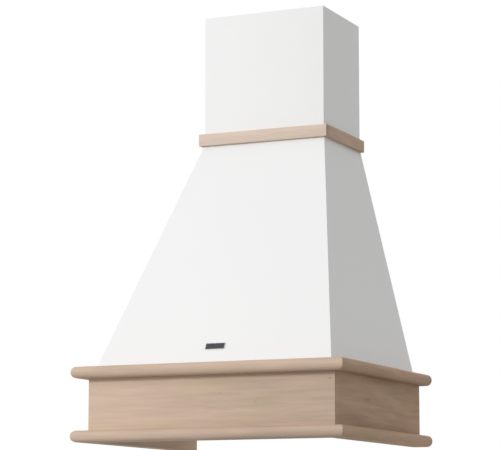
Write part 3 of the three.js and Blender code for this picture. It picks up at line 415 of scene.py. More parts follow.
def galvanised_finish(name, settings):
    """Zinc-coated steel sheet with its crystals."""
    finish = Finish(name, Metallic=0.85)
    waver = finish.node("ShaderNodeTexNoise", {"Vector": finish.place, "Scale": 60.0}, "Color")
    bent = finish.vector("ADD", finish.place, finish.toned(waver, 0.006))
    grain = finish.crystals(1 / settings.spangle, bent)
    fine, haze = finish.noise(900.0), finish.noise(14.0, 3.0)
    light = 0.9 + grain * 0.16 + fine * 0.06 + haze * 0.08
    finish.look(settings.galvanised, light, 0.38 + grain * 0.18 + haze * 0.1)
    finish.bump(grain + fine * 0.2, 0.03 * MM, 0.4)


def pleats_finish(name, colour, cell):
    """The filter's inner layers: strands of expanded metal over shadow."""
    finish = Finish(name, Metallic=0.5)
    layers = []
    for shift in (0.0, 0.37):
        across = (finish.axis(finish.place, "X") / cell[0] + shift).math("PINGPONG", 0.5)
        along = (finish.axis(finish.place, "Y") / cell[1] + shift * 1.7).math("PINGPONG", 0.5)
        off = (across + along - 0.5).math("ABSOLUTE")
        layers.append(1 - finish.step(off, 0.06, 0.14))
    strands = layers[0].math("MAXIMUM", layers[1] * 0.6)
    light = 0.42 + strands * 0.6 + finish.noise(40.0) * 0.08
    finish.look(colour, light, 0.62 - strands * 0.18)
    finish.bump(strands, 0.4 * MM, 0.8)


def enamel_finish(name, colour):
    """Dark baked enamel with a fine fleck."""
    finish = Finish(name, Metallic=0.3)
    fleck, sheen = finish.crystals(2600.0), finish.noise(120.0)
    finish.look(colour, 0.92 + fleck * 0.16, 0.34 + sheen * 0.12)
    finish.bump(fleck, 0.01 * MM, 0.3)


def lens_finish(name, colour):
    """Etched glass: milky, with a fine grain."""
    finish = Finish(name, IOR=1.5)
    grain, cloud = finish.noise(1400.0), finish.noise(55.0)
    finish.look(colour, 1 + cloud * 0.05, 0.38 + grain * 0.15)
    finish.bump(grain, 0.02 * MM, 0.4)


def metal_finish(name, colour, roughness, drawn=(1, 1, 1)):
    """Bare metal with fine scratches, drawn out along the axis with the smallest of three scales."""
    finish = Finish(name, Metallic=1.0)
    scratches = finish.noise(600.0, 3.0, finish.stretched(finish.place, *drawn))
    haze = finish.noise(22.0, 3.0)
    finish.look(colour, 0.97 + scratches * 0.12 + haze * 0.06, roughness + scratches * 0.12 + haze * 0.1)
    finish.bump(scratches, 0.02 * MM, 0.35)


def plastic_finish(name, colour, roughness, grain=1.1 * MM):
    """Moulded plastic with an eroded texture, and a little dust in its tone."""
    finish = Finish(name, IOR=1.5)
    texture, dust = finish.noise(1 / grain, 3.0), finish.noise(30.0, 3.0)
    finish.look(colour, 1 + texture * 0.08 + dust * 0.12, roughness + texture * 0.12 + dust * 0.08)
    finish.bump(texture, 0.06 * MM, 0.5)


PLEAT_STRANDS = 4.6 * MM  # between the strands in the filter's inner layers


def shared(kind):
    """A finish that several pieces share, named after their material slot."""
    return bpy.data.materials[f"{kind}_finish"]


class RANGE_HOOD_OT_finishes(Operator):
    """Make the finishes that several pieces share"""

    bl_idname = "range_hood.finishes"
    bl_label = "Finishes"

    def execute(self, context):
        settings = context.scene.range_hood
        metal, fitting = settings.metal, settings.fitting
        paint_finish("white_paint", settings.paint)
        galvanised_finish("galvanised", metal)
        metal_finish("aluminium", metal.aluminium, 0.36, (1, 0.08, 1))
        metal_finish("mesh", metal.mesh, 0.42)
        pleats_finish("pleats", metal.aluminium, (PLEAT_STRANDS, metal.mesh_cell))
        metal_finish("steel", metal.steel, 0.3)
        plastic_finish("black_plastic", fitting.black, 0.5)
        plastic_finish("grey_plastic", fitting.grey, 0.55)
        lens_finish("frosted_lens", fitting.glass)
        enamel_finish("dark_enamel", fitting.enamel)
        plastic_finish("cable", fitting.cable, 0.6, 0.7 * MM)
        return {"FINISHED"}


# ---------------- shapes


def place(name, mesh, slot, replaces=(), body=HOOD):
    """An object for a finished mesh, on its body and in the place of the solids that it stands for."""
    made = bpy.data.objects.new(name, mesh)
    bpy.context.collection.objects.link(made)
    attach(made, body)
    if replaces:
        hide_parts(*replaces)
    return made


def unit(degrees):
    """The two parts of a unit vector at an angle."""
    turn = math.radians(degrees)
    return math.cos(turn), math.sin(turn)


class Shape:
    """A mesh under construction, in metres and at its own place on the hood."""

    WELD = 2e-6
    FLAT = math.radians(0.5)

    def __init__(self, *nodes):
        """Starts empty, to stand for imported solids."""
        self.bm, self.nodes = bmesh.new(), nodes

    @classmethod
    def copied(cls, node):
        """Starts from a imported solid, with its triangles joined into flat faces."""
        shape = cls(node)
        bm = shape.bm
        bm.from_mesh(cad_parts[node].data)
        bmesh.ops.remove_doubles(bm, verts=bm.verts, dist=cls.WELD)
        bmesh.ops.dissolve_limit(bm, angle_limit=cls.FLAT, verts=bm.verts, edges=bm.edges)
        return shape

    def skin(self, rings, closed=False):
        """Joins rings of equally many points, with flat ends unless the last ring meets the first."""
        loops = [[self.bm.verts.new(point) for point in ring] for ring in rings]
        following = loops[1:] + (loops[:1] if closed else [])
        faces = []
        for low, high in zip(loops, following):
            for i in range(len(low)):
                j = (i + 1) % len(low)
                faces.append(self.bm.faces.new((low[i], low[j], high[j], high[i])))
        if not closed:
            faces += [self.bm.faces.new(loops[0]), self.bm.faces.new(loops[-1])]
        bmesh.ops.remove_doubles(self.bm, verts=[v for loop in loops for v in loop], dist=self.WELD)
        bmesh.ops.recalc_face_normals(self.bm, faces=[face for face in faces if face.is_valid])
        return self

    def turned(self, profile, origin, axis=UP, steps=64):
        """Turns a profile of (radius, height) points round an axis through its origin."""
        across = axis.orthogonal().normalized()
        beside = axis.cross(across)
        ways = [unit(360 * i / steps) for i in range(steps)]
        spokes = [across * a + beside * b for a, b in ways]
        rings = [[origin + axis * height + spoke * radius for spoke in spokes] for radius, height in profile]
        return self.skin(rings, closed=profile[0][0] > 0 or profile[-1][0] > 0)

    def plate(self, outline, depth):
        """Gives a flat outline of points a thickness."""
        return self.skin([outline, [point + depth for point in outline]])

    def block(self, low, high):
        (x0, y0, z0), (x1, y1, z1) = low, high
        base = [Vector(p) for p in ((x0, y0, z0), (x1, y0, z0), (x1, y1, z0), (x0, y1, z0))]
        return self.plate(base, UP * (z1 - z0))

    def piece(self, name, slot, *finishes, body=HOOD, eased=0.0, steps=2, sharp=35.0):
        """Makes the object, eases its sharp edges and puts it on its body."""
        mesh = bpy.data.meshes.new(name)
        for face in self.bm.faces:
            face.smooth = True
        self.bm.to_mesh(mesh)
        self.bm.free()
        for finish in finishes or [shared(slot)]:
            mesh.materials.append(finish)
        if not eased:
            mesh.set_sharp_from_angle(angle=math.radians(sharp))
        made = place(name, mesh, slot, self.nodes, body)
        if eased:
            bevel = made.modifiers.new("eased_edges", "BEVEL")
            bevel.width, bevel.segments = eased, steps
            bevel.limit_method, bevel.angle_limit = "ANGLE", math.radians(sharp)
            bevel.use_clamp_overlap = False
            made.modifiers.new("flat_faces", "WEIGHTED_NORMAL").weight = 100
        return made


def recast(node, name, slot, **options):
    """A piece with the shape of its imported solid, and with eased edges if they are asked for."""
    return Shape.copied(node).piece(name, slot, **options)


def dress(node, finish):
    """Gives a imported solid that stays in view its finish."""
    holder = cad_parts[node].material_slots[0]
    holder.link = "OBJECT"
    holder.material = finish


def middle(node):
    low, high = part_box(node)
    return (low + high) / 2


def barrel(node, axis=UP):
    """Foot, radius and length of a round solid that lies along an axis."""
    low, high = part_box(node)
    size = high - low
    length = size.dot(axis)
    return (low + high - axis * length) / 2, (size.x if axis.z else size.z) / 2, length


def mirrored(half, length):
    """A round solid's profile from the profile of one of its like ends."""
    return half + [(across, length - along) for across, along in reversed(half)]


def bar(radius, length, ease):
    """Profile of a round bar with eased ends."""
    return mirrored([(0, 0), (radius - ease, 0), (radius, ease)], length)


def arc(centre, radius, start, end, steps):
    """Points (a, b) of an arc between two angles in degrees."""
    ways = [unit(start + (end - start) * i / steps) for i in range(steps + 1)]
    return [(centre[0] + radius * a, centre[1] + radius * b) for a, b in ways]


# ---------------- timber


def moulding_stations(which, corner, half_width, depth, gap):
    """For each station along a moulding, a function from an inset to its place in plan."""

    def on_corner(side, degrees):
        """A point on the rounded corner, from 0 degrees at the front to 90 at the side."""
        cosine, sine = unit(degrees)

        def at(inset):
            edge, reach = max(corner, inset), max(0, corner - inset)
            x, y = half_width - edge + reach * sine, -(depth - edge) - reach * cosine
            return (side * (x - gap), y) if which == "front" else (side * x, y + gap)

        return at

    turns = range(0, 46, 9)  # half of the corner, up to the mitre
    if which == "front":
        return [on_corner(-1, a) for a in reversed(turns)] + [on_corner(1, a) for a in turns]
    side = SIDES[which]
    return [on_corner(side, 45 + a) for a in turns] + [lambda inset: (side * (half_width - inset), 0)]


def moulding(node, which, settings):
    """A bullnose moulding: square inside and half round outside."""
    low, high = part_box(node)
    front_low, front_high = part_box("lower_moulding_front")
    half_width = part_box("lower_moulding_right")[1].x
    width, height = front_high.y - front_low.y, high.z - low.z
    nose = arc((height / 2, height / 2), height / 2, 270, 90, settings.nose_steps)
    section = [(width, 0), *nose, (width, height)]
    gap = half_width - front_high.x
    stations = moulding_stations(which, settings.corner_rounding, half_width, -front_low.y, gap)
    rings = [[Vector((*at(inset), low.z + rise)) for inset, rise in section] for at in stations]
    return Shape(node).skin(rings)


BOARD_STEP = Vector((0.731, 0.113, 0.217))  # moves the grain's pattern on from one board to the next
# Knots and streaks of single pieces, and broad painted light and shade on some of them: centre, size and
# darkness.
MARKS_AND_PAINTED_LIGHT = {
    "frieze_front": (
        ((0.024, -0.48, -0.468), (0.0042, 0.01, 0.0017), 0.3),
        ((0.103, -0.48, -0.487), (0.0026, 0.01, 0.0019), 0.3),
        ((0.261, -0.48, -0.445), (0.0055, 0.01, 0.0016), 0.5),
        ((-0.259, -0.48, -0.454), (0.016, 0.01, 0.0022), -0.1),
        ((0.02, -0.48, -0.468), (0.05, 0.02, 0.012), 0.05),
        # Painted light and shade: the front frieze lighter at its left end and darker at its right end, as
        # the key light falls off.
        ((-0.29, -0.48, -0.5), (0.3, 0.3, 0.2), -0.09),
        ((0.29, -0.48, -0.5), (0.4, 0.3, 0.2), 0.12),
    ),
    "frieze_right": (
        ((0.2715, -0.304, -0.476), (0.01, 0.011, 0.0042), 0.16),
        ((0.2715, -0.304, -0.476), (0.02, 0.05, 0.016), 0.07),
        # Painted shade: the right frieze darker along its bottom, above the lower moulding.
        ((0.2715, -0.43, -0.516), (0.02, 0.16, 0.03), 0.1),
        ((0.2715, -0.2, -0.538), (0.02, 0.4, 0.03), 0.16),
    ),
    "collar_right": (((0.148, -0.222, 0.102), (0.02, 0.024, 0.04), 0.28),),
    # Painted shade: the front lower moulding darker towards its right end, as the key light falls off.
    "lower_moulding_front": (((0.3, -0.5, -0.55), (0.55, 0.4, 0.3), 0.16),),
    # Painted light: a lighter band along the bottom of the right lower moulding.
    "lower_moulding_right": (((0.3, -0.25, -0.56), (0.05, 0.5, 0.02), -0.08),),
}
# How the stock of a piece differs from the timber's middle colour, and how strong its figure is. The right
# boards' darker tint is painted shade of the side turned away from the key light.
TINTS_AND_SHADE = {"front": Vector((1, 1, 1)), "left": Vector((1.05, 1.0, 0.95)), "right": Vector((0.84, 0.755, 0.68))}
STOCKS = {"collar": Vector((1.14, 1.22, 1.3)), "frieze": Vector((0.98, 0.985, 0.987))}
CONTRASTS = {"front": 1.08, "left": 1.1, "right": 1.45}


class Stock:
    """Timber for a group of boards, each with grain of its own."""

    SAWN = 0.99  # how straight a sawn end faces the wall

    def __init__(self, group, settings, heart, number):
        self.settings, self.numbers = settings, itertools.count(number)
        self.ends = end_grain_finish(f"timber_{group}_ends", settings, heart)

    def cut(self, shape, name, which, eased):
        """Makes a board, with end grain where the saw cut across it at the wall."""
        (node,) = shape.nodes
        for face in shape.bm.faces:
            face.normal_update()
            if which != "front" and face.normal.y > self.SAWN:
                face.material_index = 1
        along, shift = "x" if which == "front" else "y", BOARD_STEP * next(self.numbers)
        # The right boards' tint is painted shade.
        tint_and_shade = TINTS_AND_SHADE[which] * STOCKS.get(node.split("_")[0], Vector((1, 1, 1)))
        look = tint_and_shade, CONTRASTS[which], MARKS_AND_PAINTED_LIGHT.get(node, ())
        grain = timber_finish(f"timber_{node}", self.settings, along, shift, *look)
        shape.piece(name, "timber", grain, self.ends, eased=eased)


class RANGE_HOOD_OT_timber_frame(Operator):
    """Make the bullnose mouldings, the frieze boards and the corner blocks"""

    bl_idname = "range_hood.timber_frame"
    bl_label = "Timber Frame"

    HEART = (0.31, 0.0, -0.6)  # of the log, seen on the sawn ends
    BOARDS, BLOCKS = 1, 20  # numbers of the first board's grain and of the corner blocks'
    MOULDING_EDGE, BLOCK_EDGE = 0.3 * MM, 0.6 * MM

    def execute(self, context):
        settings = context.scene.range_hood.timber
        stock = Stock("frame", settings, self.HEART, self.BOARDS)
        for which in WALLS:
            for level in ("lower", "upper"):
                shape = moulding(f"{level}_moulding_{which}", which, settings)
                stock.cut(shape, f"bullnose_{level}_{which}", which, self.MOULDING_EDGE)
            board = Shape.copied(f"frieze_{which}")
            stock.cut(board, f"frieze_board_{which}", which, settings.eased_edge)
        shift = BOARD_STEP * self.BLOCKS
        grain = timber_finish("timber_corner_blocks", settings, "x", shift, TINTS_AND_SHADE["left"])
        for side in SIDES:
            shape = Shape.copied(f"glue_block_{side}")
            shape.piece(f"corner_block_{side}", "timber", grain, eased=self.BLOCK_EDGE)
        return {"FINISHED"}


class RANGE_HOOD_OT_collar(Operator):
    """Make the timber collar between the canopy and the chimney"""

    bl_idname = "range_hood.collar"
    bl_label = "Collar"

    HEART, BOARDS = (0.16, 0.0, 0.05), 11

    def execute(self, context):
        settings = context.scene.range_hood.timber
        stock = Stock("collar", settings, self.HEART, self.BOARDS)
        for which in WALLS:
            shape = Shape.copied(f"collar_{which}")
            stock.cut(shape, f"collar_band_{which}", which, settings.eased_edge)
        return {"FINISHED"}


# ---------------- canopy and chimney

SHEET = 0.8 * MM  # steel of the canopy and the chimney
CHIMNEY_FLANGE = 22 * MM


class RANGE_HOOD_OT_canopy(Operator):
    """Dress the painted canopy and the galvanised plate at its back"""

    bl_idname = "range_hood.canopy"
    bl_label = "Canopy"

    def execute(self, context):
        for which in WALLS:
            recast(f"canopy_{which}_panel", f"canopy_{which}_skin", "white_paint")
        recast("back_plate", "hanging_plate", "galvanised")
        return {"FINISHED"}


class RANGE_HOOD_OT_chimney(Operator):
    """Fold the chimney cover and dress its bracket"""

    bl_idname = "range_hood.chimney"
    bl_label = "Chimney"

    def execute(self, context):
        radius = context.scene.range_hood.paint.fold_radius
        low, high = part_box("chimney_cover")
        left, right, front, back = low.x + radius, high.x - radius, low.y + radius, high.y - radius
        corners = ((left, back), (left, front), (right, front), (right, back))

        def fold(reach):
            """One face of the sheet: a lip, four corners and the other lip."""
            path = [(low.x + CHIMNEY_FLANGE, back + reach)]
            for turn, corner in zip((90, 180, 270, 360), corners):
                path += arc(corner, reach, turn, turn + 90, 6)
            return path + [(high.x - CHIMNEY_FLANGE, back + reach)]

        outline = [Vector((*point, low.z)) for point in fold(radius) + fold(radius - SHEET)[::-1]]
        Shape("chimney_cover").plate(outline, UP * (high.z - low.z)).piece("chimney_skin", "white_paint")
        recast("chimney_bracket", "bracket_strap", "galvanised")
        return {"FINISHED"}


class RANGE_HOOD_OT_nameplate(Operator):
    """Make the blank nameplate: a satin rim round a dark field"""

    bl_idname = "range_hood.nameplate"
    bl_label = "Nameplate"

    RIM, STEP, DEPTH = 0.8 * MM, 0.15 * MM, 0.3 * MM
    CORNER = {"offset": 1.7 * MM, "segments": 6, "profile": 0.5, "affect": "EDGES"}
    THROUGH = 0.9  # cosine of the angle between the plate's normal and an edge that runs through it

    def execute(self, context):
        shape = Shape.copied("badge_plate")
        normal = self.front(shape).normal.copy()
        corners = []
        for edge in shape.bm.edges:
            first, second = edge.verts
            if abs((first.co - second.co).normalized().dot(normal)) > self.THROUGH:
                corners.append(edge)
        bmesh.ops.bevel(shape.bm, geom=corners, **self.CORNER)
        field = self.front(shape)
        bmesh.ops.inset_region(shape.bm, faces=[field], thickness=self.RIM, depth=0)
        bmesh.ops.inset_region(shape.bm, faces=[field], thickness=self.STEP, depth=-self.DEPTH)
        field.material_index = 1
        shape.piece("nameplate", "dark_enamel", shared("aluminium"), shared("dark_enamel"), eased=0.12 * MM)
        return {"FINISHED"}

    def front(self, shape):
        return max(shape.bm.faces, key=lambda face: face.calc_area() * -face.normal.y)


# ---------------- deck, filters, lamps and buttons


class RANGE_HOOD_OT_deck(Operator):
    """Dress the deck over the cooking zone and the walls of the liner"""

    bl_idname = "range_hood.deck"
    bl_label = "Deck and Liner"

    def execute(self, context):
        recast("deck_plate", "deck_skin", "white_paint")
        for which in WALLS:
            dress(f"liner_{which}", shared("galvanised"))
        return {"FINISHED"}


PLEATS = 24
PLEAT_SHEET = 1.2 * MM
MESH_SHEET = 0.45 * MM
LATCH_BAY = (13.3 * MM, 18 * MM)  # half its width, and its depth


def expanded_mesh(node, settings):
    """Expanded metal over the filter's pleats, one cell to a slope, with the latch's bay left free."""
    low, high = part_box(node)
    size = high - low
    inputs = {
        "Width": size.x,
        "Length": size.y,
        "Cell Width": size.x / PLEATS / 2,
        "Cell Length": settings.mesh_cell,
        "Strand": settings.mesh_strand,
        "Sheet": MESH_SHEET,
        "Pleat Height": size.z - PLEAT_SHEET,
        "Bay Half Width": LATCH_BAY[0],
        "Bay Depth": LATCH_BAY[1],
    }
    maker = Maker("expanded_mesh", inputs, shared("mesh"))
    width, length, cell = maker["Width"], maker["Length"], maker["Cell Width"]
    count_x = (width / cell).math("ROUND")
    count_y = (length / maker["Cell Length"]).math("ROUND")
    pitch = length / count_y
    grid = {"Size X": width - cell, "Size Y": length - pitch, "Vertices X": count_x, "Vertices Y": count_y}
    points = maker.node("GeometryNodeMeshGrid", grid)
    place_of = maker.node("GeometryNodeInputPosition")
    x, y = maker.axis(place_of, "X"), maker.axis(place_of, "Y")
    beside = x.math("ABSOLUTE").math("LESS_THAN", maker["Bay Half Width"] + cell / 2)
    before = y.math("LESS_THAN", maker["Bay Depth"] - length / 2)
    bay = {"Geometry": points, "Selection": beside * before}
    points = maker.node("GeometryNodeDeleteGeometry", bay, domain="POINT")
    diamond = {"Width": cell, "Bottom Height": pitch / 2, "Top Height": pitch / 2}
    outline = maker.node("GeometryNodeCurvePrimitiveQuadrilateral", diamond, mode="KITE")
    strands = maker.swept(outline, maker["Strand"], maker["Sheet"])
    cells = maker.node("GeometryNodeInstanceOnPoints", {"Points": points, "Instance": strands})
    cells = maker.node("GeometryNodeRealizeInstances", {0: cells})
    rise = (x + width / 2).math("PINGPONG", cell) / cell * maker["Pleat Height"]
    folded = maker.node("GeometryNodeSetPosition", {0: cells, "Offset": maker.joined(Z=rise)})
    mesh = maker.mesh(folded)
    centre = (low + high) / 2
    mesh.transform(Matrix.Translation((centre.x, centre.y, low.z - MESH_SHEET / 4)))
    return mesh


class RANGE_HOOD_OT_filters(Operator):
    """Make the two grease filters with their rims, pleated mesh and latches"""

    bl_idname = "range_hood.filters"
    bl_label = "Grease Filters"

    RIDGE, RIDGES = Vector((1.2, 6, 0.5)) * MM, 7  # on a latch's grip
    RIDGE_INSET, BLANKS = 5.5 * MM, 3  # the blanks are a ridge's steps left free at each end

    def execute(self, context):
        for side in SIDES:
            body, node = f"filter_{side}", f"filter_mesh_{side}"
            recast(f"filter_rim_{side}", f"filter_frame_{side}", "aluminium", body=body, eased=0.3 * MM)
            dress(node, shared("pleats"))
            lattice = expanded_mesh(node, context.scene.range_hood.metal)
            place(f"filter_lattice_{side}", lattice, "aluminium", body=body)
            self.make_latch(side)
        return {"FINISHED"}

    def make_latch(self, side):
        shape = Shape.copied(f"filter_latch_{side}")
        low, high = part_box(f"filter_latch_{side}")
        step = (high.x - low.x) / (self.RIDGES - 1 + 2 * self.BLANKS)
        for i in range(self.RIDGES):
            centre = low + Vector((step * (self.BLANKS + i), self.RIDGE_INSET, 0))
            shape.block(centre - self.RIDGE / 2, centre + self.RIDGE / 2)
        shape.piece(f"latch_grip_{side}", "black_plastic", body=f"latch_{side}", eased=0.2 * MM)


class RANGE_HOOD_OT_lamps(Operator):
    """Turn the two lamps and their frosted lenses"""

    bl_idname = "range_hood.lamps"
    bl_label = "Lamps"

    PLATE, FLANGE, GROOVE, GAP, LIP, MOUTH = (n * MM for n in (1.6, 5, 3, 0.3, 1.2, 0.5))
    RIBS, RIB_START, RIB_PITCH, RIB_DEPTH = 5, 0.55, 2 * MM, 0.25 * MM  # the start is a share of the radius

    def execute(self, context):
        groove, gap, lip = self.GROOVE, self.GAP, self.LIP
        for side in SIDES:
            base, rim, height = barrel(f"lamp_housing_{side}")
            lens_base, glass, thickness = barrel(f"lamp_lens_{side}")
            wall, mouth, seat = rim - self.FLANGE, glass + gap, lens_base.z + thickness - base.z + gap
            grooves = []
            for edge in (height - 4 * groove, height - 2 * groove):
                deep = wall - groove
                grooves += [(wall, edge), (deep, edge), (deep, edge + groove), (wall, edge + groove)]
            housing = [(0, seat), (mouth, seat), (mouth, self.MOUTH), (mouth + self.MOUTH, 0)]
            housing += arc((rim - lip, lip), lip, 270, 360, 6)
            housing += [(rim, self.PLATE), (wall, self.PLATE), *grooves, (wall, height), (0, height)]
            shape = Shape(f"lamp_housing_{side}").turned(housing, base, steps=FINE)
            shape.piece(f"lamp_body_{side}", "steel")
            start = glass * self.RIB_START
            ribs = [(start + i * self.RIB_PITCH, i % 2 * self.RIB_DEPTH) for i in range(self.RIBS)]
            lens = [(0, 0.2 * MM), *ribs, (glass - 0.4 * MM, 0.1 * MM), (glass, 0.5 * MM)]
            lens += [(glass, thickness), (0, thickness)]
            shape = Shape(f"lamp_lens_{side}").turned(lens, lens_base, steps=FINE)
            shape.piece(f"lamp_glass_{side}", "frosted_lens")
        return {"FINISHED"}


class RANGE_HOOD_OT_controls(Operator):
    """Make the push buttons with their raised marks, their bezel and the switch box"""

    bl_idname = "range_hood.controls"
    bl_label = "Controls"

    RISE = 0.25 * MM  # of a mark over its button
    DOT, DOT_PITCH, BAR = 0.8 * MM, 3 * MM, (2.6 * MM, 0.55 * MM)

    def execute(self, context):
        recast("switch_bezel", "button_bezel", "black_plastic", eased=0.4 * MM)
        recast("switch_box", "switch_housing", "grey_plastic", eased=1 * MM)
        for name in ("light", "off", "speed_1", "speed_2", "speed_3"):
            node, body = f"button_{name}", f"{name}_button"
            recast(node, f"key_{name}", "grey_plastic", body=body, eased=0.6 * MM, steps=3)
            face = middle(node)
            face.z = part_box(node)[0].z
            self.mark(name, face).piece(f"mark_{name}", "black_plastic", body=body)
        return {"FINISHED"}

    def mark(self, name, face):
        """A row of dots for each speed, a bar for off and a ring for the light."""
        shape, rise = Shape(), self.RISE
        if name == "off":
            reach = Vector((*self.BAR, rise))
            return shape.block(face - reach, face + reach)
        if name == "light":
            ring = [(1.5 * MM, 0), (1.6 * MM, rise), (2.2 * MM, rise), (2.3 * MM, 0)]
            return shape.turned(ring, face, DOWN, COARSE)
        count = int(name[-1])
        dot = [(0, -rise), (self.DOT, -rise), (self.DOT, rise / 2), (self.DOT - 0.2 * MM, rise), (0, rise)]
        for i in range(count):
            shape.turned(dot, face + ALONG_X * ((i - (count - 1) / 2) * self.DOT_PITCH), DOWN, 20)
        return shape


# ---------------- blower and outlet


def impeller_blades(inner, outer, length):
    """Forward-curved blades round the Z axis."""
    inputs = {"Blades": 24, "Inner Radius": inner, "Depth": outer - inner}
    inputs.update({"Length": length, "Thickness": 1.2 * MM})
    maker = Maker("impeller_blades", inputs, shared("grey_plastic"))
    spots = {"Vertices": maker["Blades"], "Radius": maker["Inner Radius"]}
    spots = maker.node("GeometryNodeMeshCircle", spots)
    bend = {"Resolution": 6, "Radius": maker["Depth"], "Sweep Angle": math.pi / 2}
    bend = maker.node("GeometryNodeCurveArc", bend, mode="RADIUS")
    blade = maker.swept(bend, maker["Thickness"], maker["Length"], capped=True)
    outward = {"Vector": maker.node("GeometryNodeInputPosition")}
    turn = maker.node("FunctionNodeAlignRotationToVector", outward, axis="X", pivot_axis="Z")
    blades = {"Points": spots, "Instance": blade, "Rotation": turn}
    return maker.mesh(maker.node("GeometryNodeInstanceOnPoints", blades))


class RANGE_HOOD_OT_blower(Operator):
    """Make the blower: its casing, the wheel, the motor with its bearings, and the shelf"""

    bl_idname = "range_hood.blower"
    bl_label = "Blower"

    CLIP = ((-7, 0.4), (7, 0.4), (7, 9), (5, 11), (-5, 11), (-7, 9))  # mm along the rim and from the seam
    CLIP_TURNS = (110, 150, 190, 230, 270, 310)  # degrees round the shaft
    CLIP_SUNK, CLIP_DEPTH = 1, 3  # mm into the rim, and in all
    AFAR = 0.3  # from the shaft to a place outside the casing
    SEAM = 5 * MM  # from the casing's middle to a place on one half of its rim
    RACES = ((6, 0), (6.2, 0.5), (8, 0.5), (8.2, 0), (10, 0))  # mm across and along a bearing

    def execute(self, context):
        for side in SIDES:
            shape = Shape.copied(f"blower_casing_{side}")
            self.add_clips(shape, side)
            shape.piece(f"scroll_{side}", "black_plastic", eased=0.35 * MM)
        self.make_wheel()
        self.make_motor()
        recast("motor_spider", "motor_cradle", "galvanised", eased=0.5 * MM)
        recast("blower_shelf", "shelf_sheet", "galvanised")
        return {"FINISHED"}

    def add_clips(self, shape, side):
        """Ribs across the scroll's rim, where its halves clip together."""
        casing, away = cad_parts[f"blower_casing_{side}"], ALONG_X * SIDES[side]
        axle = middle("motor_shaft")
        axle.x = SIDES[side] * self.SEAM
        for degrees in self.CLIP_TURNS:
            out = Vector((0, *unit(degrees)))
            _, rim, _, _ = casing.ray_cast(axle + out * self.AFAR, -out)
            rim.x = 0
            along = out.cross(ALONG_X)
            sunk = out * self.CLIP_SUNK * MM
            base = [rim + (along * a + away * b) * MM - sunk for a, b in self.CLIP]
            shape.plate(base, out * self.CLIP_DEPTH * MM)

    def make_wheel(self):
        """Two end rings, a hub on a thin disc, and the blades."""
        low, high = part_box("impeller")
        axle, radius, half = middle("impeller"), (high.z - low.z) / 2, (high.x - low.x) / 2
        ring, bore, hub, boss, inner = 1 * MM, 4.3 * MM, 12 * MM, 13 * MM, radius - 9 * MM
        shape = Shape("impeller")
        for end in (-half, half - 2 * ring):
            band = [(inner, end), (radius, end), (radius, end + 2 * ring), (inner, end + 2 * ring)]
            shape.turned(band, axle, ALONG_X, FINE)
        disc = [(bore, -boss), (hub - ring, -boss), (hub, ring - boss), (hub + ring, -2 * ring)]
        disc += [(hub + 3 * ring, -ring), (radius, -ring)]
        shape.turned(mirrored(disc, 0), axle, ALONG_X, FINE)
        blades = impeller_blades(inner + 0.4 * MM, radius - 0.8 * MM, 2 * (half - ring))
        blades.transform(Matrix.Translation(axle) @ Matrix.Rotation(math.pi / 2, 4, "Y"))
        shape.bm.from_mesh(blades)
        bpy.data.meshes.remove(blades)
        shape.piece("wheel", "grey_plastic", body="rotor")

    def make_motor(self):
        """A finned motor, open along its shaft, with a ball bearing in each end."""
        base, radius, length = barrel("motor", ALONG_X)
        seat, passage, deep = 10.3 * MM, 5 * MM, 6.3 * MM
        shoulder, ease, fin, first, fins = 4 * MM, 1.2 * MM, 1.5 * MM, 20 * MM, []
        for at in [first + i * 2 * fin for i in range(12)]:
            fins += [(radius, at), (radius - fin, at + 0.2 * MM)]
            fins += [(radius - fin, at + fin), (radius, at + 1.2 * fin)]
        rim = [(seat, 0), (radius - shoulder, 0), (radius - ease, ease), (radius, shoulder)]
        bore = [(seat, length - deep), (passage, length - deep), (passage, deep), (seat, deep)]
        profile = rim + fins + mirrored(rim, length)[len(rim):] + bore
        Shape("motor").turned(profile, base, ALONG_X, 72).piece("motor_body", "galvanised")

        base, shaft, length = barrel("motor_shaft", ALONG_X)
        rod = Shape("motor_shaft").turned(bar(shaft, length, 0.5 * MM), base, ALONG_X, COARSE)
        for name in ("inner", "outer"):
            base, _, width = barrel(f"motor_bearing_{name}", ALONG_X)
            races = [(shaft + 0.3 * MM, 0)] + [(across * MM, along * MM) for across, along in self.RACES]
            shape = Shape(f"motor_bearing_{name}").turned(mirrored(races, width), base, ALONG_X, 48)
            shape.piece(f"ball_bearing_{name}", "steel")
        rod.piece("shaft", "steel", body="rotor")


def square(half, power, steps=FINE):
    """A ring round the origin: a circle with a power of 2, and a rounder square with a higher one."""
    ring = []
    for i in range(steps):
        legs = [math.copysign(abs(leg) ** (2 / power), leg) for leg in unit(360 * i / steps)]
        ring.append(Vector((*legs, 0)) * half)
    return ring


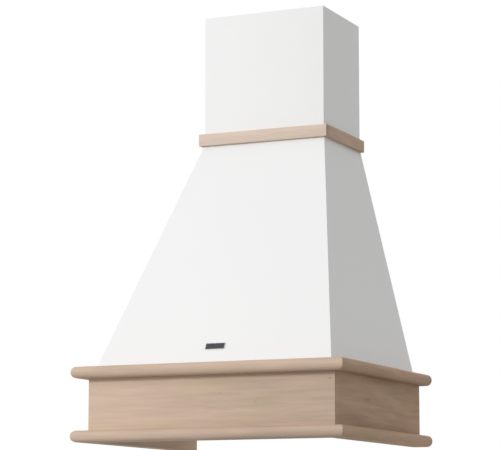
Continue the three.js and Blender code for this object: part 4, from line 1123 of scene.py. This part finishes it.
class RANGE_HOOD_OT_outlet(Operator):
    """Make the round outlet over the blower with its pin and its two flaps"""

    bl_idname = "range_hood.outlet"
    bl_label = "Outlet"

    WALL = 2 * MM
    CORNER, ROUND = 9, 2  # powers of the flange's outer and inner outlines
    LEDGE, LEDGE_STARTS = 172, (4, 184)  # degrees round the outlet

    def execute(self, context):
        base, flange, height = barrel("outlet_spigot")
        pin_base, pin_radius, pin_length = barrel("damper_pin", ALONG_X)
        wall, outer = self.WALL, pin_length / 2
        inner, seam = outer - wall, outer - wall / 2
        shape = Shape("outlet_spigot")
        edges = [
            (flange - 0.3 * MM, self.CORNER, 0),
            (flange, self.CORNER, 0.3 * MM),
            (flange, self.CORNER, wall - 0.4 * MM),
            (flange - 0.4 * MM, self.CORNER, wall),
            (seam, self.ROUND, wall),
            (seam, self.ROUND, 0),
        ]
        rings = [[base + point + UP * rise for point in square(half, power)] for half, power, rise in edges]
        shape.skin(rings, closed=True)
        tube = [(inner, 0), (outer + 3 * MM, wall), (outer, wall + 3 * MM)]
        for rise in (height - 16 * MM, height - 10 * MM):
            tube += [(outer, rise), (outer + 0.9 * MM, rise + 0.8 * MM), (outer, rise + 1.6 * MM)]
        tube += [(outer, height - 0.8 * MM), (outer - 0.5 * MM, height), (inner + 0.5 * MM, height)]
        shape.turned(tube, base, UP, FINE)
        self.add_ledges(shape, base, inner, seam)
        shape.piece("outlet_ring", "black_plastic")

        pin = Shape("damper_pin").turned(bar(pin_radius, pin_length, 0.3 * MM), pin_base, ALONG_X, COARSE)
        pin.piece("hinge_pin", "steel")
        for which in ("front", "back"):
            name, body = f"backdraught_flap_{which}", f"flap_{which}"
            recast(f"damper_flap_{which}", name, "black_plastic", body=body, eased=0.2 * MM)
        return {"FINISHED"}

    def add_ledges(self, shape, base, inner, seam):
        """The half rings that the flaps rest on, with gaps at the pin."""
        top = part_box("damper_flap_front")[0].z - base.z
        lip, level = inner - 4 * MM, top - 1.8 * MM
        section = [(lip, level), (seam, level - self.WALL), (seam, top), (lip, top - 0.1 * MM)]
        for start in self.LEDGE_STARTS:
            arms = [Vector((*point, 0)) for point in arc((0, 0), 1, start, start + self.LEDGE, 40)]
            shape.skin([[base + arm * radius + UP * rise for radius, rise in section] for arm in arms])


class RANGE_HOOD_OT_electrics(Operator):
    """Make the control box, the capacitor, the cable gland and the motor's lead"""

    bl_idname = "range_hood.electrics"
    bl_label = "Electrics"

    def execute(self, context):
        self.make_control_case()
        self.make_capacitor()
        self.make_gland()
        lead = recast("motor_lead", "motor_cable", "cable")
        smooth = lead.modifiers.new("round", "SUBSURF")
        smooth.levels = smooth.render_levels = 2
        return {"FINISHED"}

    def make_control_case(self):
        """A lid and a tray, with a seam between them that shows the block inside."""
        low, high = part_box("control_box")
        lid, seam, inside = low.y + 6 * MM, 0.8 * MM, Vector((0.5, 3, 0.5)) * MM
        shape = Shape("control_box").block(low, Vector((high.x, lid, high.z)))
        shape.block(low + inside, high - inside)
        shape.block(Vector((low.x, lid + seam, low.z)), high)
        shape.piece("control_case", "grey_plastic", eased=1.2 * MM, steps=3)

    def make_capacitor(self):
        """A can with a crimped neck near its end."""
        base, radius, length = barrel("capacitor", ALONG_X)
        crimp, lip = length - 8 * MM, radius - 1.2 * MM
        can = [(0, 0), (radius - 2 * MM, 0), (radius - 0.6 * MM, 0.5 * MM), (radius, 2 * MM), (radius, crimp)]
        can += [(lip, crimp + 1 * MM), (lip, crimp + 2 * MM), (radius, crimp + 3 * MM)]
        can += [(radius, length - 0.8 * MM), (radius - 0.8 * MM, length), (lip - 0.6 * MM, length)]
        can += [(lip - 0.8 * MM, length - 1.6 * MM), (0, length - 1.6 * MM)]
        Shape("capacitor").turned(can, base, ALONG_X).piece("capacitor_can", "aluminium")

    def make_gland(self):
        """A threaded sleeve with a dome nut, and a hexagon round it."""
        base, radius, height = barrel("mains_gland")
        bore, nut = 4 * MM, radius * math.cos(math.pi / 6)
        neck = nut - 1 * MM
        sleeve = [(bore, 0), (nut, 0), (nut, 3 * MM), (neck, 3.4 * MM), (neck, 11 * MM), (nut, 11.4 * MM)]
        sleeve += [(nut - 0.6 * MM, height - 3 * MM), (bore + 2 * MM, height), (bore, height)]
        hexagon = [(bore, 4 * MM), (radius, 4 * MM), (radius, 9 * MM), (bore, 9 * MM)]
        shape = Shape("mains_gland").turned(sleeve, base).turned(hexagon, base, steps=6)
        shape.piece("cable_gland", "black_plastic")


# ---------------- screws


def screw_head(radius):
    """A pan head with a cross recess, standing on the origin."""
    spokes = [Vector((*unit(15 + 30 * i), 0)) * radius for i in range(12)]
    dome = [(1.0, 0.0), (1.0, 0.22), (0.9, 0.42), (0.72, 0.52)]
    rings = [[spoke * across + UP * (rise * radius) for spoke in spokes] for across, rise in dome]
    for across, rise in ((0.6, 0.54), (0.48, 0.2)):
        # Four arms: a point on each side of every arm's end, and one where two arms meet.
        reaches = [across * (0.36 if i % 3 == 1 else 1.0) for i in range(12)]
        rings.append([spoke * reach + UP * (rise * radius) for spoke, reach in zip(spokes, reaches)])
    shape = Shape().skin(rings)
    mesh = bpy.data.meshes.new("screw_head")
    shape.bm.to_mesh(mesh)
    shape.bm.free()
    return bpy.data.objects.new("screw_head", mesh)


def screws(spots, radius):
    """Screw heads on (place, direction) spots, each turned at random."""
    head = screw_head(radius)
    maker = Maker("screws", {"Head": head, "Seed": 7}, shared("steel"))
    toward = maker.node("GeometryNodeInputNamedAttribute", {"Name": "toward"}, data_type="FLOAT_VECTOR")
    upright = maker.node("FunctionNodeAlignRotationToVector", {"Vector": toward}, axis="Z")
    chance = {3: math.tau, "Seed": maker["Seed"]}
    chance = maker.node("FunctionNodeRandomValue", chance, 1, data_type="FLOAT")
    spin = maker.node("FunctionNodeEulerToRotation", {0: maker.joined(Z=chance)})
    turn = maker.node("FunctionNodeRotateRotation", {0: upright, 1: spin}, rotation_space="LOCAL")
    copy = maker.node("GeometryNodeObjectInfo", {"Object": maker["Head"]}, "Geometry")
    heads = {"Points": maker["Geometry"], "Instance": copy, "Rotation": turn}
    seats = bpy.data.meshes.new("seats")
    seats.from_pydata([place for place, _ in spots], [], [])
    facing = seats.attributes.new("toward", "FLOAT_VECTOR", "POINT")
    facing.data.foreach_set("vector", [value for _, way in spots for value in way])
    mesh = maker.mesh(maker.node("GeometryNodeInstanceOnPoints", heads), seats)
    bpy.data.objects.remove(head)
    return mesh


def inset(low, high, margin):
    """Two places, a margin inside a range."""
    return low + margin, high - margin


def spread(xs, ys, zs, way):
    """A screw's spot at every combination of three lists of levels."""
    return [(Vector(level), way) for level in itertools.product(xs, ys, zs)]


class RANGE_HOOD_OT_fasteners(Operator):
    """Put the screws in the deck, the shelf, the motor's cradle, the control box and the bracket"""

    bl_idname = "range_hood.fasteners"
    bl_label = "Fasteners"

    DECK_SIDE, DECK_STRIP, DECK_BACK = 12 * MM, 40 * MM, 35 * MM  # from the deck's edges
    CASING_FEET = (-160 * MM, -57 * MM)
    CRADLE, MOTOR = ((120, 240, 360), 63 * MM), ((90, 180, 270, 360), 31 * MM)  # degrees, and the reach
    BRACKET_SCREWS, BRACKET_FACE = (-70 * MM, 70 * MM), -2 * MM
    LID_MARGIN, FLANGE_MARGIN, CASING_MARGIN, PLASTIC = (n * MM for n in (7, 9, 6, 2))

    def execute(self, context):
        radius = context.scene.range_hood.fitting.screw_radius
        low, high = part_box("control_box")
        xs, zs = inset(low.x, high.x, self.LID_MARGIN), inset(low.z, high.z, self.LID_MARGIN)
        lid = spread(xs, [low.y], zs, TO_ROOM)
        strap = spread(self.BRACKET_SCREWS, [self.BRACKET_FACE], [middle("chimney_bracket").z], TO_ROOM)
        groups = {"deck": self.deck(), "shelf": self.shelf(), "blower": self.blower()}
        groups.update({"control_case": lid, "bracket": strap})
        for name, group in groups.items():
            place(f"screws_{name}", screws(group, radius), "steel")
        return {"FINISHED"}

    def deck(self):
        low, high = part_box("deck_plate")
        side, strip, back = high.x - self.DECK_SIDE, low.y + self.DECK_STRIP, high.y - self.DECK_BACK
        rows = (strip, (strip + high.y) / 2, back)
        edges = spread((-side, side), rows, [low.z], DOWN)
        return edges + spread((-side / 2, 0, side / 2), [back], [low.z], DOWN)

    def shelf(self):
        low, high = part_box("outlet_spigot")
        xs, ys = inset(low.x, high.x, self.FLANGE_MARGIN), inset(low.y, high.y, self.FLANGE_MARGIN)
        flange = spread(xs, ys, [low.z + self.PLASTIC], UP)
        low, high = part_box("blower_casing_left")
        edge = low.x + self.CASING_MARGIN
        return flange + spread((-edge, edge), self.CASING_FEET, [high.z - self.PLASTIC], DOWN)

    def blower(self):
        axle = middle("motor_shaft")
        found = []
        for node, (turns, reach) in (("motor_spider", self.CRADLE), ("motor", self.MOTOR)):
            axle.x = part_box(node)[1].x
            found += [(axle + Vector((0, *unit(turn))) * reach, ALONG_X) for turn in turns]
        return found


# ---------------- stage


def seen(nodes):
    """1 where the eye looks straight, by a reflection or through glass, and 0 where light only bounces."""
    kinds = ("Camera", "Glossy", "Transmission")
    camera, glossy, through = [nodes.node("ShaderNodeLightPath", output=f"Is {kind} Ray") for kind in kinds]
    return camera.math("MAXIMUM", glossy).math("MAXIMUM", through)


def stand(name, data):
    """An object of the stage."""
    made = bpy.data.objects.new(name, data)
    bpy.context.collection.objects.link(made)
    return made


class RANGE_HOOD_OT_stage(Operator):
    """Set the pale floor, the soft light, the white world and the camera"""

    bl_idname = "range_hood.stage"
    bl_label = "Stage"

    FLOOR_REACH = 40.0
    AIM = Vector((0, -0.25, -0.1))  # of both lights

    def execute(self, context):
        settings = context.scene.range_hood.stage
        self.make_floor(settings)
        context.scene.world = self.make_world(settings)
        self.make_light("front_softbox", settings.key_place, settings.key_power, settings)
        self.make_light("back_softbox", settings.back_place, settings.back_power, settings)
        context.scene.camera = self.make_camera(settings)
        context.scene.view_settings.view_transform = "Standard"
        return {"FINISHED"}

    def make_floor(self, settings):
        """A wide floor that the eye sees as almost white from above, and sees through from below."""
        reach, mesh = self.FLOOR_REACH, bpy.data.meshes.new("floor")
        corners = ((-reach, -reach), (reach, -reach), (reach, reach), (-reach, reach))
        mesh.from_pydata([(x, y, settings.floor_height) for x, y in corners], [], [(0, 1, 2, 3)])
        finish = Finish("pale_floor", Roughness=0.9)
        finish.feed(Base_Color=finish.toned(settings.floor, 1 + finish.noise(0.8) * 0.02))
        finish.cover(finish.node("ShaderNodeEmission"), seen(finish) * settings.floor_white)
        below = finish.node("ShaderNodeNewGeometry", output="Backfacing")
        finish.cover(finish.node("ShaderNodeBsdfTransparent"), below)
        mesh.materials.append(finish.material)
        floor = stand("floor", mesh)

    def make_world(self, settings):
        world = bpy.data.worlds.new("white_studio")
        world.use_nodes = True
        nodes = Nodes(world.node_tree)
        nodes.tree.nodes.clear()
        strength = seen(nodes) * (1 - settings.ambient) + settings.ambient
        light = nodes.node("ShaderNodeBackground", {"Color": (1, 1, 1, 1), "Strength": strength})
        nodes.node("ShaderNodeOutputWorld", {"Surface": light})
        return world

    def make_light(self, name, spot, power, settings):
        light = bpy.data.lights.new(name, "AREA")
        light.shape, light.energy = "RECTANGLE", power
        light.size, light.size_y = settings.light_width, settings.light_height
        lamp = stand(name, light)
        lamp.location = spot
        lamp.rotation_euler = (self.AIM - lamp.location).to_track_quat("-Z", "Y").to_euler()

    def make_camera(self, settings):
        camera = bpy.data.cameras.new("camera")
        camera.lens, camera.sensor_width = settings.lens, 36
        camera.clip_start, camera.clip_end = 0.05, 200
        holder = stand("camera", camera)
        holder.location = settings.camera_place
        holder.rotation_euler = (math.pi / 2 + settings.camera_pitch, 0, settings.camera_yaw)
        return holder


# ---------------- panel and registration

OPERATORS = (
    RANGE_HOOD_OT_finishes,
    RANGE_HOOD_OT_stage,
    RANGE_HOOD_OT_timber_frame,
    RANGE_HOOD_OT_collar,
    RANGE_HOOD_OT_canopy,
    RANGE_HOOD_OT_chimney,
    RANGE_HOOD_OT_nameplate,
    RANGE_HOOD_OT_deck,
    RANGE_HOOD_OT_filters,
    RANGE_HOOD_OT_lamps,
    RANGE_HOOD_OT_controls,
    RANGE_HOOD_OT_blower,
    RANGE_HOOD_OT_outlet,
    RANGE_HOOD_OT_electrics,
    RANGE_HOOD_OT_fasteners,
)


class RANGE_HOOD_PT_panel(Panel):
    """Lists the pieces of the hood and their settings"""

    bl_label = "Range Hood"
    bl_space_type = "VIEW_3D"
    bl_region_type = "UI"
    bl_category = "Range Hood"

    def draw(self, context):
        for operator in OPERATORS:
            self.layout.operator(operator.bl_idname)
        for group, kind in GROUPS.items():
            box = self.layout.box()
            box.label(text=group.title())
            for name in kind.__annotations__:
                box.prop(getattr(context.scene.range_hood, group), name)


CLASSES = (*GROUPS.values(), HoodSettings, *OPERATORS, RANGE_HOOD_PT_panel)


def register():
    for cls in CLASSES:
        bpy.utils.register_class(cls)
    bpy.types.Scene.range_hood = PointerProperty(type=HoodSettings)


def unregister():
    del bpy.types.Scene.range_hood
    for cls in reversed(CLASSES):
        bpy.utils.unregister_class(cls)


def main():
    register()
    for operator in OPERATORS:
        group, name = operator.bl_idname.split(".")
        getattr(getattr(bpy.ops, group), name)()


if __name__ == "__main__":
    main()
